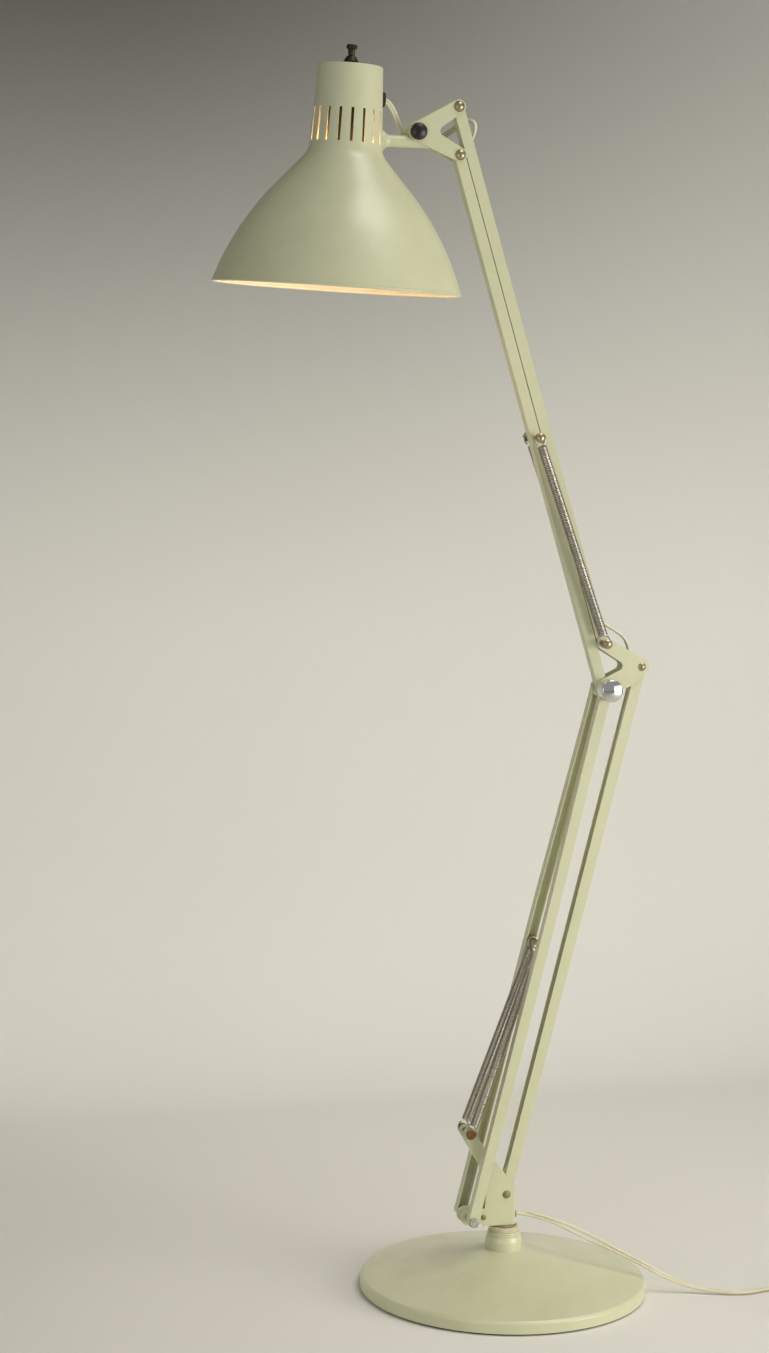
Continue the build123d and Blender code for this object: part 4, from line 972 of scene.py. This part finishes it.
@dataclass
class Shade:
    """The bell shade with its vented neck, its switch and the bulb, in millimetres and degrees.

    A face belongs to the inside if it looks at the axis and its normal rises less than inner_slope, or if it
    is above ceiling_height and its normal is below ceiling_slope.
    """

    lean: float = 2.6
    turn: float = 0.8
    stub_height: float = 1124.489
    rim_place: tuple[float, float, float] = (-188.528, 0.0, 985.870)
    height: float = 206.8
    wall: float = 1.2
    neck_length: float = 74.0
    neck_top: float = 30.5
    neck_taper: float = 2.9
    edge_round: float = 2.0
    least_round: float = 0.4
    round_facets: int = 6
    flare_radius: float = 20.0
    flare_angle: float = 42.0
    cone_length: float = 36.0
    rim_angle: float = 18.3
    rim_bead: float = 1.3
    vent_count: int = 18
    vent_phase: float = 3.3
    vent_clear: float = 20.0
    vent_width: float = 2.8
    vent_length: float = 31.0
    vent_foot: float = 2.0
    switch_hole: float = 3.6
    grip_count: int = 22
    grip_ring: float = 4.72
    grip_ridge: float = 0.38
    grip_height: float = 2.6
    grip_middle: float = 223.4
    slot_depth: float = 16.0
    bead_start: float = 80.0
    bead_step: float = 21.7
    bead_points: int = 15
    inner_slope: float = 0.5
    ceiling_slope: float = -0.9
    ceiling_height: float = 190.0

    def place(self) -> Matrix:
        """Place of the shade's own frame.

        Returns:
            The frame with its origin at the middle of the rim.
        """
        stub = mm(0, 0, self.stub_height)
        turn = Matrix.Rotation(math.radians(self.turn), 4, "X")
        lean = Matrix.Rotation(math.radians(self.lean), 4, "Y")
        about_stub = Matrix.Translation(stub) @ turn @ Matrix.Translation(-stub)
        return about_stub @ Matrix.Translation(mm(*self.rim_place)) @ lean

    def outline(self, inset: float, facets: int = 16) -> list[tuple[float, float]]:
        """Draw the half section's outer line, or the inner one.

        Args:
            inset: How far inside the outer surface it is.
            facets: Steps of each arc.

        Returns:
            Points of (radius, height) from the top of the neck to the rim.
        """
        taper, flare, rim = (math.radians(a) for a in (self.neck_taper, self.flare_angle, self.rim_angle))
        foot = (self.neck_top + self.neck_length * math.tan(taper), self.height - self.neck_length)
        middle = (foot[0] + self.flare_radius * math.cos(taper),
                  foot[1] + self.flare_radius * math.sin(taper))
        flare_end = (middle[0] - self.flare_radius * math.cos(flare),
                     middle[1] - self.flare_radius * math.sin(flare))
        cone_end = (flare_end[0] + self.cone_length * math.sin(flare),
                    flare_end[1] - self.cone_length * math.cos(flare))
        bell = cone_end[1] / (math.sin(flare) - math.sin(rim))
        centre = (cone_end[0] - bell * math.cos(flare), cone_end[1] - bell * math.sin(flare))
        rounding = max(self.edge_round - inset, self.least_round)
        top = self.height - inset
        top_radius = self.neck_top - inset + inset * math.tan(taper)
        points = [(top_radius - rounding * (1 - math.sin(a)), top - rounding * (1 - math.cos(a)))
                  for a in (math.pi / 2 * i / self.round_facets for i in range(self.round_facets + 1))]
        steps = [i / facets for i in range(facets + 1)]
        for share in steps:
            angle = taper + (flare - taper) * share
            reach = self.flare_radius + inset
            points.append((middle[0] - reach * math.cos(angle), middle[1] - reach * math.sin(angle)))
        for share in steps:
            angle = flare + (rim - flare) * share
            reach = bell - inset
            points.append((centre[0] + reach * math.cos(angle), centre[1] + reach * math.sin(angle)))
        return points

    def build(self, shop: Workshop) -> None:
        """Make the shade and dress what it carries.

        Args:
            shop: The workshop.
        """
        self.build_shade(shop)
        for node, finish, slot, edge in (
                ("head_stub", ENAMEL, "cream_enamel", 0.4), ("cord_grommet", RUBBER, "black_rubber", 0.5),
                ("switch_nut", DARK_METAL, "dark_metal", 0.4),
                ("lamp_holder", BLACK_PLASTIC, "black_plastic", 0.6),
                ("bulb_glass", OPAL_GLASS, "bulb_glass", 0.3), ("bulb_cap", BULB_CAP, "bulb_cap", 0.4)):
            shop.eased(node, finish, slot, edge)
        shop.paint("stub_nut", STEEL)
        shop.paint("switch_body", BLACK_PLASTIC)
        shop.eased("switch_knob", DARK_METAL, "dark_metal", edge=0.4)
        self.build_grip(shop)

    def build_shade(self, shop: Workshop) -> None:
        """Turn the shade, cut its vents and paint its inside.

        Args:
            shop: The workshop.
        """
        outer = self.outline(0.0)
        inner = self.outline(self.wall)
        bead_radius, bead_height = ((a + b) / 2 for a, b in zip(outer[-1], inner[-1]))
        turns = [math.radians(self.bead_start - self.bead_step * i) for i in range(self.bead_points)]
        bead = [(bead_radius + self.rim_bead * math.cos(a), bead_height + self.rim_bead * math.sin(a))
                for a in turns]
        outline = [(self.switch_hole, self.height)] + outer[:-1] + bead + inner[-2::-1]
        outline.append((self.switch_hole, self.height - self.wall))
        blank = turned_mesh("lamp_shade", outline)
        foot_radius = self.neck_top + self.neck_length * math.tan(math.radians(self.neck_taper))
        middle = self.height - self.neck_length + self.vent_foot + self.vent_length / 2
        mesh = grown_mesh("lamp_shade", vent_tree(), {
            "Count": self.vent_count, "Ring Radius": foot_radius * MM,
            "Phase": (0, 0, math.radians(self.vent_phase)),
            "Kept Beyond": foot_radius * math.cos(math.radians(self.vent_clear)) * MM,
            "Slot Size": (self.slot_depth * MM, self.vent_width * MM, self.vent_length * MM),
            "Slot Middle": (0, 0, middle * MM), "Material": shop.material(ENAMEL)}, blank)
        inside = self.inside_faces(mesh)
        mesh.transform(self.place())
        piece = shop.piece("lamp_shade", mesh, ENAMEL, crease=30)
        mesh.materials.append(shop.material(WHITE_ENAMEL))
        for index in inside:
            mesh.polygons[index].material_index = 1
        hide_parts("shade_neck", "shade_bell")
        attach(piece, "shade")
        LOG.info("lamp_shade: turned with %d faces, %d inside", len(mesh.polygons), len(inside))

    def build_grip(self, shop: Workshop) -> None:
        """Set the ridges around the switch knob's cap.

        Args:
            shop: The workshop.
        """
        mesh = grown_mesh("switch_knob_grip", ridge_tree(), {
            "Count": self.grip_count, "Ring Radius": self.grip_ring * MM,
            "Ridge Radius": self.grip_ridge * MM, "Ridge Height": self.grip_height * MM,
            "Middle": (0, 0, self.grip_middle * MM), "Material": shop.material(DARK_METAL)})
        mesh.transform(self.place())
        grip = shop.piece("switch_knob_grip", mesh, DARK_METAL, crease=40)
        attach(grip, "switch_knob")
        LOG.info("switch_knob_grip: %d ridges", self.grip_count)

    def inside_faces(self, mesh: bpy.types.Mesh) -> list[int]:
        """Find the faces of the shade's inner surface, in the shade's own frame.

        Args:
            mesh: The shade before it is put in place.

        Returns:
            Numbers of the faces that look at the bulb.
        """
        faces = []
        for face in mesh.polygons:
            inwards = Vector((-face.center.x, -face.center.y, 0))
            wall = face.normal.dot(inwards) > 0 and face.normal.z < self.inner_slope
            ceiling = face.normal.z < self.ceiling_slope and face.center.z > self.ceiling_height * MM
            if wall or ceiling:
                faces.append(face.index)
        return faces


@dataclass(frozen=True)
class SpringPair:
    """Two springs side by side: their ends in the arms' plane, what they join and how their turns are split.

    The first foot_turns turns make the foot's piece, and the rest make the head's.
    """

    label: str
    foot: tuple[float, float]
    head: tuple[float, float]
    foot_y: float
    head_y: float
    bodies: tuple[str, str]
    foot_turns: int
    foot_start: float
    foot_share: float
    head_share: float


@dataclass
class BalanceSprings:
    """The four tension springs that balance the arms, in millimetres."""

    linkage: Linkage
    wire: float = 1.5
    radius: float = 4.1
    pitch: float = 1.62
    reach: float = 9.0
    hook_radius: float = 5.6
    pin_radius: float = 2.5
    slack: float = 0.3
    neck_share: float = 0.2
    neck_drop: float = 1.2
    facets: int = 18
    eye_first: int = 75
    eye_last: int = -225
    eye_step: int = 30
    lower_foot_y: float = 13.1
    lower_head_y: float = 7.0
    upper_y: float = 14.5

    def hook_route(self, near: float, sign: int) -> list[Vector]:
        """Bend a hook around a pin, in the spring's own frame.

        Args:
            near: Height of the pin's axis along the spring.
            sign: 1 at the foot, -1 at the head.

        Returns:
            The hook's control points in metres.
        """
        seat = self.hook_radius - self.wire / 2 - self.pin_radius - self.slack
        middle = near + sign * seat
        eye = [math.radians(a) for a in range(self.eye_first, self.eye_last - 1, -self.eye_step)]
        grow = self.hook_radius / math.cos(math.radians(self.eye_step / 2))
        points = [mm(grow * math.cos(a), 0, middle + sign * grow * math.sin(a)) for a in eye]
        stem = near + sign * self.reach
        neck = mm(self.radius * self.neck_share, 0, stem - sign * self.neck_drop)
        return points[::-1] + [neck, mm(self.radius, 0, stem)]

    def mesh(self, name: str, winder: bpy.types.NodeTree, turns: int, rise: float, first: float,
             hook: list[Vector], shop: Workshop) -> bpy.types.Mesh:
        """Wind one end of a spring along Z with its hook.

        Args:
            name: The mesh's name.
            winder: The tree that winds it.
            turns: Number of turns.
            rise: Height of one turn.
            first: Height of the first turn.
            hook: Control points of the hook.
            shop: The workshop.

        Returns:
            The mesh in the spring's own frame.
        """
        wound = grown_mesh(name, winder, {
            "Turns": float(turns), "Steps": self.facets, "Radius": self.radius * MM,
            "Wire": self.wire / 2 * MM, "Length": turns * rise * MM,
            "Material": shop.material(SPRING_STEEL)})
        shell = bmesh.new()
        shell.from_mesh(wound)
        bmesh.ops.translate(shell, verts=shell.verts, vec=mm(0, 0, first))
        sweep_tube(shell, smooth_line(hook, samples=5), self.wire / 2 * MM, sides=8)
        bmesh.ops.recalc_face_normals(shell, faces=shell.faces)
        shell.to_mesh(wound)
        shell.free()
        return wound

    def wind(self, shop: Workshop, winder: bpy.types.NodeTree, pair: SpringPair, side: str, low: Vector,
             high: Vector) -> None:
        """Wind one spring from its foot to its head, as two pieces that meet at a turn.

        Args:
            shop: The workshop.
            winder: The tree that winds its body.
            pair: The pair that the spring is of.
            side: The side that it is on.
            low: The foot's pin.
            high: The head's pin.
        """
        span = high - low
        length = span.length / MM
        turns = round((length - 2 * self.reach) / self.pitch)
        rise = (length - 2 * self.reach) / turns
        meeting = self.reach + pair.foot_turns * rise
        share = meeting / length
        eased = (share - pair.foot_start) / (pair.foot_share - pair.foot_start)
        weight = eased * eased * (3 - 2 * eased)
        reached = 0.5 - math.sin(math.asin(1 - 2 * weight) / 3)
        head_start = (share - reached * pair.head_share) / (1 - reached)
        up = span.normalized()
        right = Vector((0, 1, 0)).cross(up).normalized()
        place = Matrix.Translation(low) @ Matrix((right, up.cross(right), up)).transposed().to_4x4()
        node = f"{pair.label}_{side}"
        ends = (("foot", pair.foot_turns, self.reach, self.hook_route(0.0, 1),
                 pair.foot_start, pair.foot_share),
                ("wound", turns - pair.foot_turns, meeting, self.hook_route(length, -1),
                 head_start, pair.head_share))
        for end, count, first, hook, start, stop in ends:
            name = f"{node}_{end}"
            mesh = self.mesh(name, winder, count, rise, first, hook, shop)
            mesh.transform(place)
            piece = shop.piece(name, mesh, SPRING_STEEL, crease=60)
            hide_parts(node)
            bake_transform(piece)
        LOG.info("%s: wound, %d turns, %.0f mm between its pins", node, turns, length)

    def build(self, shop: Workshop) -> None:
        """Wind the lower and the upper pair.

        Args:
            shop: The workshop.
        """
        arms = self.linkage
        cross = arms.along(arms.front_pivot, arms.lower_lean, arms.cross_pin_along)
        screw = arms.along(arms.knee_main, arms.upper_lean, arms.upper_screw_along)
        pairs = (SpringPair("lower_spring", arms.finger, cross, self.lower_foot_y, self.lower_head_y,
                            ("bracket", "lower_arm"), foot_turns=13, foot_start=0.0, foot_share=0.33,
                            head_share=0.95),
                 SpringPair("upper_spring", arms.knee_top, screw, self.upper_y, self.upper_y,
                            ("knee", "upper_bar_front"), foot_turns=14, foot_start=-0.03, foot_share=0.29,
                            head_share=0.7))
        winder = coil_tree()
        for pair in pairs:
            for side, sign in (("front", -1), ("back", 1)):
                low = mm(pair.foot[0], sign * pair.foot_y, pair.foot[1])
                high = mm(pair.head[0], sign * pair.head_y, pair.head[1])
                self.wind(shop, winder, pair, side, low, high)


@dataclass
class SheetMetal:
    """The enamelled base, bracket, bars and plates, with edges eased as folded and cast metal."""

    sheet_edge: float = 0.35
    base_edge: float = 0.8

    def build(self, shop: Workshop) -> None:
        """Dress the enamelled pieces.

        Args:
            shop: The workshop.
        """
        for node in ("base_disc", "base_collar"):
            shop.eased(node, ENAMEL, "cream_enamel", self.base_edge)
        for node in ("bracket_sheet", "rear_bar", "lower_bar_front", "lower_bar_back", "knee_plate_front",
                     "knee_plate_back", "upper_bar_front", "upper_bar_rear", "head_plate_front",
                     "head_plate_back", "head_knuckle"):
            shop.eased(node, ENAMEL, "cream_enamel", self.sheet_edge)


@dataclass
class Hardware:
    """Bolts, screws, rivets, sleeves, knobs, bushings and felt."""

    head_edge: float = 0.3
    knob_edge: float = 0.8

    def build(self, shop: Workshop) -> None:
        """Dress the small metal, plastic and felt pieces.

        Args:
            shop: The workshop.
        """
        metals = {
            STEEL: ("swivel_stem", "spring_cross_pin", "knee_bolt", "knee_rivet", "knee_spring_screw",
                    "upper_spring_screw", "head_screw_lower", "head_screw_upper", "head_clamp_screw",
                    "lower_pivot_sleeves", "knee_sleeves"),
            # Rivet heads in old paint, darkened with painted shade.
            OLD_PAINT_AND_SHADE_STEEL: ("bracket_tie_screw", "rear_bar_rivet"),
            BROWNED_STEEL: ("finger_pin",),
            ZINC_PLATE: ("lower_pivot_bolt", "lower_pivot_nut")}
        for finish, nodes in metals.items():
            for node in nodes:
                shop.eased(node, finish, "plain_steel", self.head_edge)
        shop.eased("knee_knob", CHROME, "chrome", self.knob_edge)
        shop.eased("head_clamp_knob", BLACK_PLASTIC, "black_plastic", self.knob_edge)
        shop.eased("collar_bushing", BUSHING_PLASTIC, "cream_bushing", edge=0.5)
        shop.eased("exit_bush", RUBBER, "black_rubber", edge=0.4)
        shop.eased("base_felt", FELT, "felt", edge=0.4)


@dataclass(frozen=True)
class StudioLamp:
    """A square soft lamp: place and target in millimetres, size in metres, watts, and beam in degrees."""

    name: str
    place: tuple[float, float, float]
    target: tuple[float, float, float]
    size: float
    power: float
    beam: float
    colour: str


LAMPS = (StudioLamp("window", (1700, -1600, 440), (40, 0, 240), 1.4, 38.0, 180, "#FFFCF5"),
         StudioLamp("ceiling", (800, -500, 2300), (80, 0, 0), 1.4, 3.2, 60, "#FFFBF2"),
         StudioLamp("room_fill", (-1700, -1900, 500), (0, 0, 250), 1.6, 10.0, 180, "#F6F6F4"),
         StudioLamp("back_fill", (-500, 1900, 1000), (0, 0, 400), 1.4, 8.0, 180, "#F6F6F4"))


@dataclass
class Studio:
    """Camera, sweep of floor and wall with painted shade high on the left, and soft light."""

    camera_place: tuple[float, float, float] = (-872.9, -2574.3, 914.6)
    heading: float = 16.0
    pitch: float = 6.35
    roll: float = 1.1
    lens: float = 74.5
    wall: float = 950.0
    corner: float = 260.0
    reach: float = 9000.0
    corner_steps: int = 12
    beyond_drop: float = 1.0
    room_light: float = 0.42

    def build_camera(self) -> None:
        """Put the camera where the photograph was taken from."""
        data = bpy.data.cameras.new("camera")
        data.sensor_fit = "VERTICAL"
        data.sensor_height = 36.0
        data.lens = self.lens
        turn, down, roll = (math.radians(a) for a in (self.heading, self.pitch, self.roll))
        ahead = Vector((math.sin(turn) * math.cos(down), math.cos(turn) * math.cos(down), -math.sin(down)))
        right = Vector((math.cos(turn), -math.sin(turn), 0))
        up = right.cross(ahead)
        rolled_right = right * math.cos(roll) + up * math.sin(roll)
        rolled_up = up * math.cos(roll) - right * math.sin(roll)
        camera = put("camera", data)
        axes = Matrix((rolled_right, rolled_up, -ahead)).transposed().to_4x4()
        camera.matrix_world = Matrix.Translation(mm(*self.camera_place)) @ axes
        bpy.context.scene.camera = camera

    def sweep_paint(self) -> bpy.types.Material:
        """Mix the matt paint of floor and wall.

        It has faint clouds about 0.7 m across and painted shade high up on the left, and is clear from
        behind.

        Returns:
            The material.
        """
        material = bpy.data.materials.new("matt_wall_paint_with_painted_shade")
        material.use_nodes = True
        tree = material.node_tree
        tree.nodes.clear()
        place = add_node(tree, "ShaderNodeTexCoord").outputs["Object"]
        cloud = add_node(tree, "ShaderNodeTexNoise", {"Vector": place, "Scale": 1.4, "Detail": 2.0})
        tone = add_node(tree, "ShaderNodeMix", {
            0: cloud.outputs["Fac"], 6: linear("#E4E1D8"), 7: linear("#ECEAE2")}, data_type="RGBA")
        # Painted shade: the paint turns towards dark grey high up and to the left, where the room's light
        # falls off.
        along = add_node(tree, "ShaderNodeSeparateXYZ", {"Vector": place})
        aloft = add_node(tree, "ShaderNodeMapRange", {
            "Value": along.outputs["Z"], "From Min": 0.5, "From Max": 1.6, "To Min": 0.0, "To Max": 1.0},
            interpolation_type="SMOOTHSTEP")
        aside = add_node(tree, "ShaderNodeMapRange", {
            "Value": along.outputs["X"], "From Min": 1.0, "From Max": -0.3, "To Min": 0.45, "To Max": 0.97},
            interpolation_type="SMOOTHSTEP")
        painted_shade = add_node(tree, "ShaderNodeMath", {
            0: aloft.outputs["Result"], 1: aside.outputs["Result"]}, operation="MULTIPLY")
        wall = add_node(tree, "ShaderNodeMix", {
            0: painted_shade.outputs["Value"], 6: tone.outputs[2], 7: linear("#4A4A43")}, data_type="RGBA")
        paint = add_node(tree, "ShaderNodeBsdfDiffuse", {"Color": wall.outputs[2]})
        clear = add_node(tree, "ShaderNodeBsdfTransparent")
        behind = add_node(tree, "ShaderNodeNewGeometry").outputs["Backfacing"]
        seen = add_node(tree, "ShaderNodeMixShader", {0: behind, 1: paint.outputs[0], 2: clear.outputs[0]})
        add_node(tree, "ShaderNodeOutputMaterial", {"Surface": seen.outputs[0]})
        return material

    def build_sweep(self) -> None:
        """Lay the floor and raise the wall behind it as one sheet, with more floor beyond the wall."""
        profile = [(-self.reach, 0.0)]
        for i in range(self.corner_steps + 1):
            angle = math.radians(90 * i / self.corner_steps)
            profile.append((self.wall - self.corner * (1 - math.sin(angle)),
                            self.corner * (1 - math.cos(angle))))
        profile.append((self.wall, self.reach))
        shell = bmesh.new()
        rows = [[shell.verts.new(mm(x, y, z)) for x in (-self.reach, self.reach)] for y, z in profile]
        for low, high in zip(rows, rows[1:]):
            shell.faces.new((low[0], low[1], high[1], high[0]))
        beyond = [shell.verts.new(mm(x, y, -self.beyond_drop)) for x, y in (
            (-self.reach, self.wall - self.corner), (self.reach, self.wall - self.corner),
            (self.reach, self.reach), (-self.reach, self.reach))]
        shell.faces.new(beyond)
        mesh = mesh_of(shell, "studio_sweep")
        mesh.materials.append(self.sweep_paint())
        mesh.polygons.foreach_set("use_smooth", [True] * len(mesh.polygons))
        sweep = put("studio_sweep", mesh)

    def build_light(self) -> None:
        """Light the room softly, brightest low on the right."""
        world = bpy.data.worlds.new("room")
        bpy.context.scene.world = world
        world.use_nodes = True
        sky = world.node_tree.nodes["Background"].inputs
        sky["Color"].default_value = linear("#E9ECEF")
        sky["Strength"].default_value = self.room_light
        for row in LAMPS:
            data = bpy.data.lights.new(row.name, "AREA")
            data.shape = "SQUARE"
            data.size = row.size
            data.energy = row.power
            data.spread = math.radians(row.beam)
            data.color = linear(row.colour)[:3]
            lamp = put(row.name, data)
            lamp.location = mm(*row.place)
            lamp.rotation_euler = (mm(*row.target) - mm(*row.place)).to_track_quat("-Z", "Y").to_euler()
        bpy.context.scene.view_settings.view_transform = "Standard"


def main() -> None:
    """Build the dressed lamp and its studio."""
    logging.basicConfig(level=logging.INFO, format="%(message)s")
    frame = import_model()
    shop = Workshop(frame)
    studio = Studio()
    studio.build_camera()
    linkage = Linkage()
    TwinFlex(linkage).build(shop)
    SheetMetal().build(shop)
    Hardware().build(shop)
    BalanceSprings(linkage).build(shop)
    Shade().build(shop)
    studio.build_sweep()
    studio.build_light()


if __name__ == "__main__":
    main()
